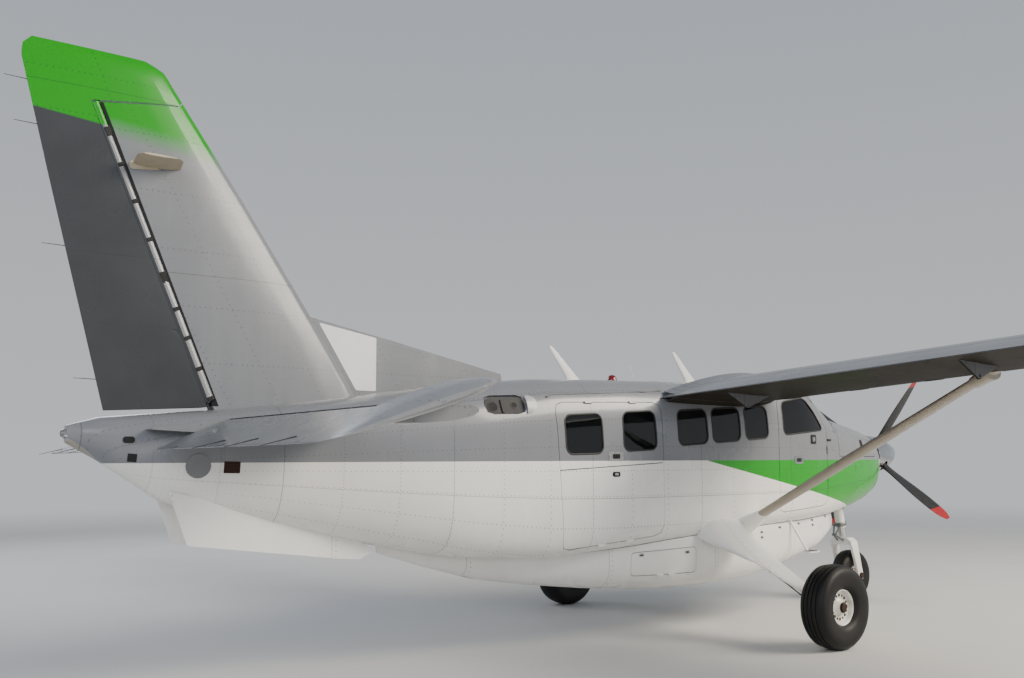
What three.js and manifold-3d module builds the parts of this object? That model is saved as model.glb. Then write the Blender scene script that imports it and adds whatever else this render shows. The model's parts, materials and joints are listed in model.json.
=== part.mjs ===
import * as THREE from 'three';
import Module from 'manifold-3d';

const wasm = await Module();
wasm.setup();

// Driving dimensions in millimetres and degrees. A station is measured ahead from the aft tip of
// the rudder, a height is above the ground, and port is positive Y.
const LENGTH = 10410;
const HALF_SPAN = 6860;
const FIN_TOP = 4650;
const HALF_TRACK = 1850;
const MAIN_WHEEL = { station: 6450, radius: 368.5, width: 270, rim: 155, segments: 28 };
const NOSE_WHEEL = { station: 9370, radius: 290, width: 196, rim: 108, segments: 24 };
const PROPELLER = { station: 9900, height: 1720, radius: 1220, tilt: 3, blades: 4, rest: 38 };
const CABIN_SKIN = 30;
const REAR_WALL = 8;
const TAIL_SKIN = 3;
const COWL_SKIN = 12;
const POD_SKIN = 10;
const SEAT = 0.3;
const DOOR_GAP = 6;
const TAIL_CONE_JOINT = 1060;
const CABIN_REAR = 3450;
const FIREWALL = 8350;
const COWL_FRONT = 9680;
const AXLE_RADIUS = 32;
const RING_POINTS = 24;
const ELEVATOR_DROOP = 15;

const COLOURS = {
  grey: 0x8b8f95,
  darkGrey: 0x4c4e52,
  white: 0xe8e8e4,
  green: 0x43c41c,
  black: 0x17181a,
  metal: 0x9a9c9f,
  glass: 0x2a3034,
  tyre: 0x1b1b1c,
  trim: 0x5b5d60,
};

const aircraft = new THREE.Group();
aircraft.name = 'turboprop_utility_aircraft';

// A closed body from points and triangles, turned so that its faces look out.
function solid(points, faces) {
  let volume = 0;
  for (const [a, b, c] of faces) {
    const [p, q, r] = [points[a], points[b], points[c]];
    volume += p[0] * (q[1] * r[2] - q[2] * r[1]);
    volume += p[1] * (q[2] * r[0] - q[0] * r[2]);
    volume += p[2] * (q[0] * r[1] - q[1] * r[0]);
  }
  const ordered = volume < 0 ? faces.map(([a, b, c]) => [a, c, b]) : faces;
  return new wasm.Manifold(new wasm.Mesh({
    numProp: 3,
    vertProperties: new Float32Array(points.flat()),
    triVerts: new Uint32Array(ordered.flat()),
  }));
}

function changed(body, change) {
  const mesh = body.getMesh();
  const points = [];
  const faces = [];
  for (let i = 0; i < mesh.vertProperties.length; i += 3) {
    points.push(change([...mesh.vertProperties.slice(i, i + 3)]));
  }
  for (let i = 0; i < mesh.triVerts.length; i += 3) {
    faces.push([...mesh.triVerts.slice(i, i + 3)]);
  }
  return solid(points, faces);
}

const mirrored = (body) => changed(body, ([x, y, z]) => [x, -y, z]);

function turned(body, origin, axis, degrees) {
  const centre = new THREE.Vector3(...origin);
  const line = new THREE.Vector3(...axis).normalize();
  const angle = THREE.MathUtils.degToRad(degrees);
  return changed(body, (point) => {
    const moved = new THREE.Vector3(...point).sub(centre).applyAxisAngle(line, angle).add(centre);
    return moved.toArray();
  });
}

// Rings of equal count joined into a closed skin; both ends are capped as a ladder. With twin set,
// the second and third quarters split their faces the other way, so that both sides match.
function loft(rings, twin = false) {
  const count = rings[0].length;
  const points = rings.flat();
  const faces = [];
  for (let i = 0; i < rings.length - 1; i += 1) {
    for (let j = 0; j < count; j += 1) {
      const a = i * count + j;
      const b = i * count + ((j + 1) % count);
      if (twin && j >= count / 4 && j < (3 * count) / 4) {
        faces.push([a, b, a + count], [b, b + count, a + count]);
      } else {
        faces.push([a, b, b + count], [a, b + count, a + count]);
      }
    }
  }
  const capped = [[0, true], [(rings.length - 1) * count, false]];
  for (const [start, first] of capped) {
    let low = 0;
    let high = count - 1;
    while (high - low > 1) {
      const near = [start + low, start + low + 1, start + high];
      faces.push(first ? [near[0], near[2], near[1]] : near);
      if (high - low > 2) {
        const far = [start + low + 1, start + high - 1, start + high];
        faces.push(first ? [far[0], far[2], far[1]] : far);
      }
      low += 1;
      high -= 1;
    }
  }
  return solid(points, faces);
}

// An outline of two coordinates pushed along the third: axis 0 is X, 1 is Y, 2 is Z.
function prism(outline, axis, from, to) {
  const flat = outline.map(([u, v]) => new THREE.Vector2(u, v));
  const caps = THREE.ShapeUtils.triangulateShape(flat, []);
  const place = (u, v, w) => [[w, u, v], [u, w, v], [u, v, w]][axis];
  const count = outline.length;
  const points = [
    ...outline.map(([u, v]) => place(u, v, from)),
    ...outline.map(([u, v]) => place(u, v, to)),
  ];
  const faces = [];
  for (const [a, b, c] of caps) {
    faces.push([a, c, b], [a + count, b + count, c + count]);
  }
  const clockwise = THREE.ShapeUtils.isClockWise(flat);
  for (let i = 0; i < count; i += 1) {
    const j = (i + 1) % count;
    const side = [[i, j, j + count], [i, j + count, i + count]];
    faces.push(...(clockwise ? side.map(([a, b, c]) => [a, c, b]) : side));
  }
  return solid(points, faces);
}

const box = (x0, x1, y0, y1, z0, z1) => prism([[x0, y0], [x1, y0], [x1, y1], [x0, y1]], 2, z0, z1);
const slab = (from, to) => box(from, to, -3000, 3000, -500, 5500);

// A convex outline with its edges moved out by a distance.
function grown(outline, distance) {
  const count = outline.length;
  let area = 0;
  for (let i = 0; i < count; i += 1) {
    const [a, b] = [outline[i], outline[(i + 1) % count]];
    area += a[0] * b[1] - a[1] * b[0];
  }
  const side = area > 0 ? 1 : -1;
  return outline.map((point, i) => {
    const before = outline[(i + count - 1) % count];
    const after = outline[(i + 1) % count];
    const first = new THREE.Vector2(point[0] - before[0], point[1] - before[1]).normalize();
    const second = new THREE.Vector2(after[0] - point[0], after[1] - point[1]).normalize();
    const normals = [first, second].map((edge) => new THREE.Vector2(edge.y * side, -edge.x * side));
    const bisector = normals[0].clone().add(normals[1]).normalize();
    const reach = distance / bisector.dot(normals[0]);
    return [point[0] + bisector.x * reach, point[1] + bisector.y * reach];
  });
}

// An outline whose corners are rounded by short curves.
function rounded(outline, radius, steps = 2) {
  const count = outline.length;
  return outline.flatMap((point, i) => {
    const ends = [outline[(i + count - 1) % count], outline[(i + 1) % count]].map((other) => {
      const length = Math.hypot(other[0] - point[0], other[1] - point[1]);
      const share = Math.min(radius / length, 0.45);
      return [point[0] + (other[0] - point[0]) * share, point[1] + (other[1] - point[1]) * share];
    });
    const curve = [];
    for (let k = 0; k <= steps; k += 1) {
      const t = k / steps;
      const weights = [(1 - t) ** 2, 2 * t * (1 - t), t ** 2];
      curve.push([0, 1].map((c) => (
        weights[0] * ends[0][c] + weights[1] * point[c] + weights[2] * ends[1][c]
      )));
    }
    return curve;
  });
}

// A profile of [along, radius] turned round an axis. Each end lies on the axis, or the profile closes.
function turnedProfile(profile, segments, place) {
  const open = profile[0][1] === 0;
  const points = [];
  const rings = profile.map(([along, radius]) => {
    const start = points.length;
    const count = radius === 0 ? 1 : segments;
    for (let i = 0; i < count; i += 1) {
      const angle = (i / segments) * Math.PI * 2;
      points.push(place(along, radius * Math.cos(angle), radius * Math.sin(angle)));
    }
    return { start, count };
  });
  const faces = [];
  const pairs = open ? rings.length - 1 : rings.length;
  for (let k = 0; k < pairs; k += 1) {
    const [a, b] = [rings[k], rings[(k + 1) % rings.length]];
    for (let i = 0; i < segments; i += 1) {
      const j = (i + 1) % segments;
      if (b.count > 1) {
        faces.push([a.start + (a.count > 1 ? i : 0), b.start + i, b.start + j]);
      }
      if (a.count > 1) {
        faces.push([a.start + i, b.start + (b.count > 1 ? j : 0), a.start + j]);
      }
    }
  }
  return solid(points, faces);
}

const alongX = (x, y, z) => (along, u, v) => [x + along, y + u, z + v];
const alongY = (x, y, z) => (along, u, v) => [x + u, y + along, z + v];

// A straight round bar between two points, tapering from one radius to the other.
function rod(from, to, startRadius, endRadius = startRadius, segments = 16) {
  const start = new THREE.Vector3(...from);
  const end = new THREE.Vector3(...to);
  const line = end.clone().sub(start).normalize();
  const guide = Math.abs(line.y) > 0.8 ? new THREE.Vector3(1, 0, 0) : new THREE.Vector3(0, 1, 0);
  const across = new THREE.Vector3().crossVectors(line, guide).normalize();
  const other = new THREE.Vector3().crossVectors(line, across);
  const ring = (centre, radius) => Array.from({ length: segments }, (_, i) => {
    const angle = ((i + 0.5) / segments) * Math.PI * 2;
    return centre.clone()
      .addScaledVector(across, radius * Math.cos(angle))
      .addScaledVector(other, radius * Math.sin(angle))
      .toArray();
  });
  return loft([ring(start, startRadius), ring(end, endRadius)]);
}

function addPart(name, body, colour) {
  const mesh = body.getMesh();
  const positions = new Float32Array(mesh.vertProperties);
  for (let i = 0; i < positions.length; i += 3) {
    positions[i] -= LENGTH / 2;
  }
  const geometry = new THREE.BufferGeometry();
  geometry.setAttribute('position', new THREE.BufferAttribute(positions, 3));
  geometry.setIndex(new THREE.BufferAttribute(new Uint32Array(mesh.triVerts), 1));
  const part = new THREE.Mesh(geometry, new THREE.MeshStandardMaterial({ color: COLOURS[colour] }));
  part.name = name;
  aircraft.add(part);
}

function addPair(name, starboardBody, colour) {
  addPart(`${name}_right`, starboardBody, colour);
  addPart(`${name}_left`, mirrored(starboardBody), colour);
}

// Body lines: the section is an oval with squared shoulders, its upper and lower halves set apart.
// Columns: station, half width, keel, widest height, crown, upper power, lower power.
const FUSELAGE = [
  [410, 55, 1800, 1870, 1925, 2.0, 2.0],
  [620, 125, 1680, 1850, 1985, 2.2, 2.0],
  [1060, 220, 1390, 1800, 2025, 2.4, 2.2],
  [1600, 310, 1240, 1780, 2070, 2.6, 2.4],
  [2400, 440, 1060, 1740, 2170, 2.8, 2.8],
  [3000, 535, 945, 1700, 2260, 3.0, 3.4],
  [3450, 600, 860, 1680, 2330, 3.3, 4.2],
  [4250, 690, 815, 1650, 2400, 4.2, 7.0],
  [5000, 722, 850, 1650, 2425, 4.5, 7.0],
  [6500, 725, 930, 1660, 2460, 4.5, 7.0],
  [7300, 715, 980, 1670, 2505, 4.6, 7.0],
  [7650, 705, 1000, 1670, 2530, 4.6, 7.0],
  [7860, 690, 1010, 1670, 2485, 4.6, 6.5],
  [8350, 615, 1040, 1650, 2160, 4.0, 5.5],
  [8700, 555, 1080, 1640, 2115, 3.4, 4.5],
  [9000, 490, 1120, 1640, 2075, 3.0, 3.8],
  [9300, 415, 1175, 1640, 2030, 2.7, 3.2],
  [9550, 335, 1245, 1650, 1975, 2.4, 2.8],
  [9680, 262, 1350, 1660, 1925, 2.2, 2.4],
];

// The belly pod, in the same columns.
const POD = [
  [2860, 12, 915, 960, 1010, 2.0, 2.0],
  [3300, 60, 780, 850, 920, 2.2, 2.0],
  [3800, 170, 640, 780, 900, 2.6, 2.4],
  [4300, 350, 560, 750, 900, 3.4, 3.0],
  [4900, 520, 490, 760, 960, 4.4, 3.4],
  [5600, 610, 430, 790, 1020, 5.0, 3.6],
  [6300, 640, 420, 800, 1060, 5.0, 3.6],
  [6900, 630, 440, 820, 1090, 5.0, 3.6],
  [7500, 590, 520, 860, 1120, 4.6, 3.4],
  [8150, 500, 640, 920, 1150, 4.0, 3.0],
  [8500, 390, 770, 990, 1155, 3.0, 2.6],
  [8680, 240, 930, 1060, 1150, 2.4, 2.2],
];

function ovalRing([station, half, keel, widest, crown, upper, lower], inset) {
  return Array.from({ length: RING_POINTS }, (_, i) => {
    const angle = (i / RING_POINTS) * Math.PI * 2;
    const [across, up] = [Math.cos(angle), Math.sin(angle)].map((v) => Math.round(v * 1e9) / 1e9);
    const power = 2 / (up > 0 ? upper : lower);
    const reach = up > 0 ? crown - widest : widest - keel;
    return [
      station,
      Math.sign(across) * (half - inset) * Math.abs(across) ** power,
      widest + Math.sign(up) * (reach - inset) * Math.abs(up) ** power,
    ];
  });
}

const hull = (rows, inset) => loft(rows.map((row) => ovalRing(row, inset)), true);
const fuselage = hull(FUSELAGE, 0);
const fuselageClear = hull(FUSELAGE, -SEAT);

// Doors and windows as outlines of [station, height].
const CARGO_DOOR = [[4320, 890], [5500, 985], [5490, 2200], [4235, 2165]];
const CARGO_SPLIT = { from: [4000, 1567], to: [5800, 1656], gap: 8 };
const CREW_DOOR = [[7190, 1125], [8080, 1180], [8110, 2000], [7790, 2372], [7300, 2345], [7215, 2240]];
const CREW_WINDOW = [[7290, 1917], [8030, 1985], [7715, 2330], [7285, 2264]];
const WINDOWS = {
  first: [[4345, 1715], [4760, 1725], [4745, 2085], [4325, 2060]],
  second: [[5000, 1745], [5420, 1765], [5400, 2125], [4990, 2100]],
  third: [[5710, 1800], [6120, 1825], [6105, 2160], [5700, 2135]],
  fourth: [[6190, 1830], [6600, 1855], [6590, 2190], [6180, 2165]],
  fifth: [[6680, 1860], [7040, 1885], [7030, 2215], [6670, 2195]],
};
const WINDSCREEN = [[7875, 2900], [7875, 2425], [8325, 2060], [8325, 2900]];
const POD_DOOR = [[5215, 610], [6005, 600], [6005, 835], [5215, 815]];
const WINDOW_CORNER = 70;
const DOOR_CORNER = 90;
const POST_HALF_WIDTH = 25;
const RIGHT_SIDE = [-1200, -250];
const LEFT_SIDE = [250, 1200];

// Hinge lines of the swinging panels, each a straight line just outside the skin.
// Columns: the line's ends, the shares along it at which the knuckle pairs sit, the barrel radius.
const HINGES = {
  cargoUpper: { from: [4235, -663, 2168], to: [5490, -701, 2203], at: [0.3, 0.72], radius: 13 },
  cargoLower: { from: [4320, -630, 878], to: [5500, -688, 973], at: [0.38, 0.66], radius: 15 },
  crewDoor: { from: [8083, -655, 1180], to: [8113, -655, 1993], at: [0.36, 0.72], radius: 11 },
  podDoor: { from: [5215, -560, 601], to: [6005, -626, 591], at: [0.42, 0.6], radius: 17 },
  cowlDoor: { from: [8390, -25, 2163], to: [9400, -25, 2018], at: [0.4, 0.75], radius: 9 },
};
const KNUCKLE = { length: 40, clearance: 1, room: 1.12, segments: 8 };

// The barrels along a hinge line: one stays on the frame, the next goes with the panel.
function knuckles({ from, to, at, radius }) {
  const start = new THREE.Vector3(...from);
  const line = new THREE.Vector3(...to).sub(start);
  const step = line.clone().normalize();
  const barrels = (begin, end, reach) => at
    .map((share) => start.clone().addScaledVector(line, share))
    .map((middle) => rod(
      middle.clone().addScaledVector(step, begin).toArray(),
      middle.clone().addScaledVector(step, end).toArray(),
      reach,
      reach,
      KNUCKLE.segments,
    ))
    .reduce((sum, barrel) => sum.add(barrel));
  const { length, clearance, room } = KNUCKLE;
  return {
    fixed: barrels(SEAT / 2, length, radius),
    swinging: barrels(-length, -SEAT / 2, radius),
    aroundFixed: barrels(-SEAT / 2, length + clearance, radius * room),
    aroundSwinging: barrels(-length - clearance, SEAT / 2, radius * room),
  };
}
const hinges = Object.fromEntries(
  Object.entries(HINGES).map(([name, row]) => [name, knuckles(row)]),
);
const frameWith = (body, { fixed, aroundSwinging }) => body.subtract(aroundSwinging).add(fixed);
const panelWith = (body, { swinging, aroundFixed }) => body.subtract(aroundFixed).add(swinging);
const twin = ({ fixed, swinging, aroundFixed, aroundSwinging }) => ({
  fixed: mirrored(fixed),
  swinging: mirrored(swinging),
  aroundFixed: mirrored(aroundFixed),
  aroundSwinging: mirrored(aroundSwinging),
});

const cut = (outline, growth, corner, side) => (
  prism(rounded(grown(outline, growth), corner + growth), 1, ...side)
);
const windowCut = (outline, growth, side) => cut(outline, growth, WINDOW_CORNER, side);
const doorCut = (outline, growth, side) => cut(outline, growth, DOOR_CORNER, side);

// Cabin: a hollow shell from the rear frame to the firewall, with its doors and windows cut.
const cabinHollow = hull(FUSELAGE, CABIN_SKIN).intersect(
  slab(CABIN_REAR + REAR_WALL, FIREWALL - CABIN_SKIN),
);
const cabinSolid = fuselage.intersect(slab(CABIN_REAR, FIREWALL)).subtract(cabinHollow);
const postBar = box(7000, 9000, -POST_HALF_WIDTH, POST_HALF_WIDTH, 1900, 3000);
const windscreenOpening = prism(WINDSCREEN, 1, -900, 900).subtract(postBar);

let cabinShell = cabinSolid.subtract(windscreenOpening);
const shellWindows = [
  ['first', LEFT_SIDE], ['second', LEFT_SIDE], ['third', LEFT_SIDE], ['fourth', LEFT_SIDE],
  ['fifth', LEFT_SIDE], ['third', RIGHT_SIDE], ['fourth', RIGHT_SIDE], ['fifth', RIGHT_SIDE],
];
for (const [window, side] of shellWindows) {
  cabinShell = cabinShell.subtract(windowCut(WINDOWS[window], 0, side));
}
cabinShell = cabinShell.subtract(doorCut(CARGO_DOOR, DOOR_GAP, RIGHT_SIDE));
for (const side of [RIGHT_SIDE, LEFT_SIDE]) {
  cabinShell = cabinShell.subtract(doorCut(CREW_DOOR, DOOR_GAP, side));
}

// Side intake: a shallow slot with rounded ends behind the cargo door, high on the right side.
const SIDE_SLOT = [[3560, 2045], [3960, 2060], [3960, 2225], [3560, 2210]];
const slotDepth = hull(FUSELAGE, CABIN_SKIN - 6);
cabinShell = cabinShell.subtract(
  cut(SIDE_SLOT, 0, 80, RIGHT_SIDE).subtract(slotDepth),
);
cabinShell = frameWith(cabinShell, hinges.cargoUpper);
cabinShell = frameWith(cabinShell, hinges.cargoLower);
cabinShell = frameWith(cabinShell, hinges.crewDoor);
cabinShell = frameWith(cabinShell, twin(hinges.crewDoor));
addPart('cabin_shell', cabinShell, 'grey');

// Cargo door in two halves above and below its split line, and the crew doors, cut from the same skin.
function cargoHalf(up) {
  const { from, to, gap } = CARGO_SPLIT;
  const [near, far] = [from, to].map(([x, z]) => [x, z + (up * gap) / 2]);
  const ends = [[to[0], far[1] + up * 900], [from[0], near[1] + up * 900]];
  const zone = prism([near, far, ...ends], 1, ...RIGHT_SIDE);
  return cabinSolid.intersect(doorCut(CARGO_DOOR, 0, RIGHT_SIDE)).intersect(zone);
}
const upperDoor = cargoHalf(1)
  .subtract(windowCut(WINDOWS.first, 0, RIGHT_SIDE))
  .subtract(windowCut(WINDOWS.second, 0, RIGHT_SIDE));
addPart('cargo_door_upper', panelWith(upperDoor, hinges.cargoUpper), 'grey');
addPart('cargo_door_lower', panelWith(cargoHalf(-1), hinges.cargoLower), 'white');
const crewDoor = cabinSolid.intersect(doorCut(CREW_DOOR, 0, RIGHT_SIDE))
  .subtract(windowCut(CREW_WINDOW, 0, RIGHT_SIDE));
addPair('crew_door', panelWith(crewDoor, hinges.crewDoor), 'grey');

// Glass stands almost flush in its opening, with a thin flange behind the skin.
const glassSheet = hull(FUSELAGE, 5).subtract(hull(FUSELAGE, CABIN_SKIN + 6));
const glassFlange = hull(FUSELAGE, CABIN_SKIN + SEAT).subtract(hull(FUSELAGE, CABIN_SKIN + 6));

function glassBand(names, flange, side) {
  let band = glassFlange.intersect(cut(flange, 0, WINDOW_CORNER, side));
  for (const name of names) {
    band = band.add(glassSheet.intersect(windowCut(WINDOWS[name], -SEAT, side)));
  }
  return band;
}
const doorFlange = [[4315, 1690], [5440, 1730], [5430, 2150], [4295, 2095]];
const rightFlange = [[5680, 1775], [7070, 1860], [7060, 2240], [5670, 2165]];
const leftFlange = [[4300, 1690], [7070, 1860], [7060, 2240], [4290, 2090]];
addPart('cargo_door_glass', glassBand(['first', 'second'], doorFlange, RIGHT_SIDE), 'glass');
addPart('cabin_glass_right', glassBand(['third', 'fourth', 'fifth'], rightFlange, RIGHT_SIDE), 'glass');
addPart('cabin_glass_left', glassBand(Object.keys(WINDOWS), leftFlange, LEFT_SIDE), 'glass');
const crewGlass = hull(FUSELAGE, 5).subtract(hull(FUSELAGE, 15))
  .intersect(windowCut(CREW_WINDOW, -SEAT, RIGHT_SIDE));
addPair('crew_door_glass', crewGlass, 'glass');
const postClear = box(7000, 9000, -POST_HALF_WIDTH - SEAT, POST_HALF_WIDTH + SEAT, 1900, 3000);
const windscreenPanes = glassSheet
  .intersect(prism(grown(WINDSCREEN, -SEAT), 1, -900, 900))
  .subtract(postClear);
const windscreenFlange = [[7860, 2900], [7860, 2440], [8312, 2075], [8312, 2900]];
const windscreen = windscreenPanes.add(
  glassFlange.intersect(prism(windscreenFlange, 1, -900, 900)),
);
addPart('windscreen', windscreen, 'glass');

// Cabin inside: floor, instrument panel and the two crew seats.
const FLOOR = { rear: 3500, front: 8300, rearTop: 880, frontTop: 1130, thick: 40 };
const floorTop = (station) => (
  FLOOR.rearTop
  + ((FLOOR.frontTop - FLOOR.rearTop) * (station - FLOOR.rear)) / (FLOOR.front - FLOOR.rear)
);
const floorSlab = [
  [FLOOR.rear, FLOOR.rearTop - FLOOR.thick], [FLOOR.front, FLOOR.frontTop - FLOOR.thick],
  [FLOOR.front, FLOOR.frontTop], [FLOOR.rear, FLOOR.rearTop],
];
const doorSill = box(4240, 5580, -900, -560, 700, 1100);
const floor = hull(FUSELAGE, CABIN_SKIN + SEAT).intersect(prism(floorSlab, 1, -900, 900))
  .subtract(doorSill);
addPart('cabin_floor', floor, 'trim');
const panelOutline = [[8060, 1500], [8250, 1560], [8250, 2030], [8120, 2060]];
const panelAhead = hull(FUSELAGE, CABIN_SKIN + SEAT).intersect(slab(8150, 8250));
const panel = hull(FUSELAGE, CABIN_SKIN + 12).add(panelAhead)
  .intersect(prism(panelOutline, 1, -900, 900));
addPart('instrument_panel', panel, 'black');
const SEAT_SIDES = [-540, -120];
const seatOutline = [
  [7250, floorTop(7250) + SEAT], [7640, floorTop(7640) + SEAT], [7700, 1330], [7760, 1470],
  [7350, 1450], [7200, 2080], [7120, 2070], [7180, 1420],
];
addPair('crew_seat', prism(seatOutline, 1, ...SEAT_SIDES), 'black');

// Tail: a tapering shell and its end cone.
const tailHollow = hull(FUSELAGE, TAIL_SKIN);
const tailShell = fuselage.intersect(slab(TAIL_CONE_JOINT, CABIN_REAR - SEAT))
  .subtract(tailHollow.intersect(slab(TAIL_CONE_JOINT + TAIL_SKIN, CABIN_REAR)));
const tailCone = fuselage.intersect(slab(400, TAIL_CONE_JOINT - SEAT))
  .subtract(tailHollow.intersect(slab(480, TAIL_CONE_JOINT)));
addPart('tail_cone', tailCone, 'grey');

// Shapes drawn along the propeller's own axis, which tilts nose up, put in their place.
function mounted(body) {
  const tilted = turned(body, [0, 0, 0], [0, 1, 0], -PROPELLER.tilt);
  return changed(tilted, ([x, y, z]) => [x + PROPELLER.station, y, z + PROPELLER.height]);
}

// Engine bay: the engine as one block from the firewall to the hub, the lower cowl with its nose
// ring, and two top-hung doors. The profile runs along the propeller's axis, back from the hub.
const HUB_BACK = -165;
const engineProfile = (growth) => [
  [-1620, 0], [-1620, 120 + growth], [-1480, 245 + growth], [-650 + growth, 245 + growth],
  [-580 + growth, 180 + growth], [-300 + growth, 180 + growth], [-300 + growth, 110 + growth],
  [-210 + growth, 110 + growth], [-210 + growth, 70 + growth], [HUB_BACK - SEAT, 70 + growth],
  [HUB_BACK - SEAT, 0],
];
const engine = mounted(turnedProfile(engineProfile(0), 18, alongX(0, 0, 0)))
  .intersect(slab(FIREWALL + SEAT, 9900));
const engineClear = mounted(turnedProfile(engineProfile(SEAT), 18, alongX(0, 0, 0)));
addPart('engine_block', engine, 'metal');
const cowlHollow = hull(FUSELAGE, COWL_SKIN).intersect(slab(FIREWALL, COWL_FRONT - 20));
const shaftHole = rod([9500, 0, 1700], [9800, 0, 1715], 140, 140, 24);
const chinInlet = prism(
  rounded([[-150, 1400], [150, 1400], [130, 1500], [-130, 1500]], 45),
  0,
  9600,
  9800,
);
const cowlSolid = fuselage.intersect(slab(FIREWALL + SEAT, COWL_FRONT))
  .subtract(cowlHollow)
  .subtract(shaftHole)
  .subtract(chinInlet);
const cowlDoorZone = (growth) => box(
  8390 - growth,
  9400 + growth,
  -900,
  -25 + growth,
  1700 - growth,
  2400,
);
const cowlDoor = cowlSolid.intersect(cowlDoorZone(0));
const exhaustPath = [[9290, -170, 1650], [9270, -400, 1600], [9200, -500, 1570], [9110, -560, 1550]];
const legHole = rod([9080, 0, 1500], [9190, 0, 1000], 75);
let cowlLower = cowlSolid
  .subtract(cowlDoorZone(DOOR_GAP))
  .subtract(mirrored(cowlDoorZone(DOOR_GAP)))
  .subtract(legHole);

// Exhaust stub: a short bent pipe on the left side, open at its outer end.
function pipe(path, radius, segments = 12) {
  const curve = new THREE.CatmullRomCurve3(path.map((point) => new THREE.Vector3(...point)));
  const up = new THREE.Vector3(0, 0, 1);
  const rings = [];
  const stops = 4;
  for (let k = 0; k <= stops; k += 1) {
    const centre = curve.getPointAt(k / stops);
    const along = curve.getTangentAt(k / stops);
    const across = new THREE.Vector3().crossVectors(along, up).normalize();
    const other = new THREE.Vector3().crossVectors(across, along);
    rings.push(Array.from({ length: segments }, (_, i) => {
      const angle = (i / segments) * Math.PI * 2;
      return centre.clone()
        .addScaledVector(across, radius * Math.cos(angle))
        .addScaledVector(other, radius * Math.sin(angle))
        .toArray();
    }));
  }
  return loft(rings);
}
const exhaustInside = [[9280, -300, 1622], ...exhaustPath.slice(1, 3), [9060, -590, 1540]];
const exhaust = pipe(exhaustPath, 72).subtract(pipe(exhaustInside, 64)).subtract(engineClear);
const exhaustHole = rod([9285, -300, 1622], [9130, -640, 1545], 100, 100, 10);
cowlLower = cowlLower.subtract(mirrored(exhaustHole));
cowlLower = frameWith(cowlLower, hinges.cowlDoor);
cowlLower = frameWith(cowlLower, twin(hinges.cowlDoor));
addPart('cowl_lower', cowlLower, 'green');
addPair('cowl_door', panelWith(cowlDoor, hinges.cowlDoor), 'grey');
addPart('exhaust_stub_left', mirrored(exhaust), 'metal');

// Belly pod with one side door. It is hollow ahead of its second frame.
const podClear = hull(POD, -SEAT);
const bodyClear = fuselageClear.add(podClear);
const podInside = [1, 2, 3, 5, 7, 9, 11].map((row) => POD[row]);
const podSkin = hull(POD, 0).subtract(hull(podInside, POD_SKIN)).subtract(fuselageClear);
const podBody = podSkin.subtract(cut(POD_DOOR, DOOR_GAP, 40, RIGHT_SIDE));
const podPanel = podSkin.intersect(cut(POD_DOOR, 0, 40, RIGHT_SIDE));
addPart('belly_pod', frameWith(podBody, hinges.podDoor), 'white');
addPart('pod_door', panelWith(podPanel, hinges.podDoor), 'white');

// Half the thickness of an aerofoil of unit chord and a thickness ratio of 0.2, at a share x of it.
const thicknessCurve = (x) => (
  0.2969 * Math.sqrt(x) - 0.126 * x - 0.3516 * x ** 2 + 0.2843 * x ** 3 - 0.1015 * x ** 4
);
const EDGE_THICKNESS = 1.5;

// Aerofoil sections run from the upper trailing edge round the nose to the lower trailing edge.
function aerofoilRing({ lead, trail, side, thick, camber = 0, skin = 0 }, steps = 8) {
  const nose = new THREE.Vector3(...lead);
  const chordLine = new THREE.Vector3(...trail).sub(nose);
  const chord = chordLine.length();
  const normal = new THREE.Vector3(...side).normalize();
  const station = (x, half) => {
    const full = 5 * thick * thicknessCurve(x) * chord + EDGE_THICKNESS * x;
    const depth = Math.max(full - skin, 0.6);
    const bow = camber * 4 * x * (1 - x) * chord;
    return nose.clone()
      .addScaledVector(chordLine, x)
      .addScaledVector(normal, bow + half * depth)
      .toArray();
  };
  const shares = Array.from({ length: steps + 1 }, (_, i) => (
    0.002 + 0.998 * (1 - Math.cos((i / steps) * Math.PI)) / 2
  ));
  return [
    ...shares.toReversed().map((x) => station(x, 1)),
    ...shares.map((x) => station(x, -1)),
  ];
}

// Wing, starboard half. Columns: span, leading station and height, trailing station and height,
// thickness. The nose steps ahead at the outer panel.
const WING = [
  [0, 7252, 2352, 5524, 2216, 0.165],
  [4195, 7225, 2545, 5570, 2428, 0.150],
  [4205, 7290, 2548, 5570, 2428, 0.145],
  [6560, 7110, 2602, 5800, 2545, 0.125],
  [6780, 7040, 2604, 5860, 2556, 0.090],
  [HALF_SPAN, 6860, 2590, 6000, 2570, 0.035],
];
const WING_SKIN = 12;
const WING_CAMBER = 0.018;
const WING_HINGE = { flap: [[800, 6010], [4130, 6034]], aileron: [[4160, 6034], [6520, 6160]] };

function wingRing([span, leadX, leadZ, trailX, trailZ, thick], change) {
  const { growth = 0, inset = 0, steps = 8 } = change;
  return aerofoilRing({
    lead: [leadX + growth - inset, -span - (span === 0 ? SEAT / 2 : 0), leadZ],
    trail: [trailX - growth + inset, -span - (span === 0 ? SEAT / 2 : 0), trailZ],
    side: [0, 0, 1],
    thick,
    camber: WING_CAMBER,
    skin: inset - growth,
  }, steps);
}
const wingFull = loft(WING.map((row) => wingRing(row, {})));
const wingClear = loft(WING.map((row) => wingRing(row, { growth: SEAT })));
const TANK_BAY = [[6140, -500], [7300, -500], [7300, -6300], [6260, -6300], [6140, -4100]];
const wingCore = loft(WING.slice(0, 4).map((row) => wingRing(row, { inset: WING_SKIN })))
  .intersect(prism(TANK_BAY, 2, 1000, 4000));

function hingeZone([[innerSpan, innerX], [outerSpan, outerX]], growth, setback = 0) {
  return prism([
    [innerX + growth - setback, -innerSpan + growth],
    [outerX + growth - setback, -outerSpan - growth],
    [5000, -outerSpan - growth],
    [5000, -innerSpan + growth],
  ], 2, 1000, 4000);
}

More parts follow.
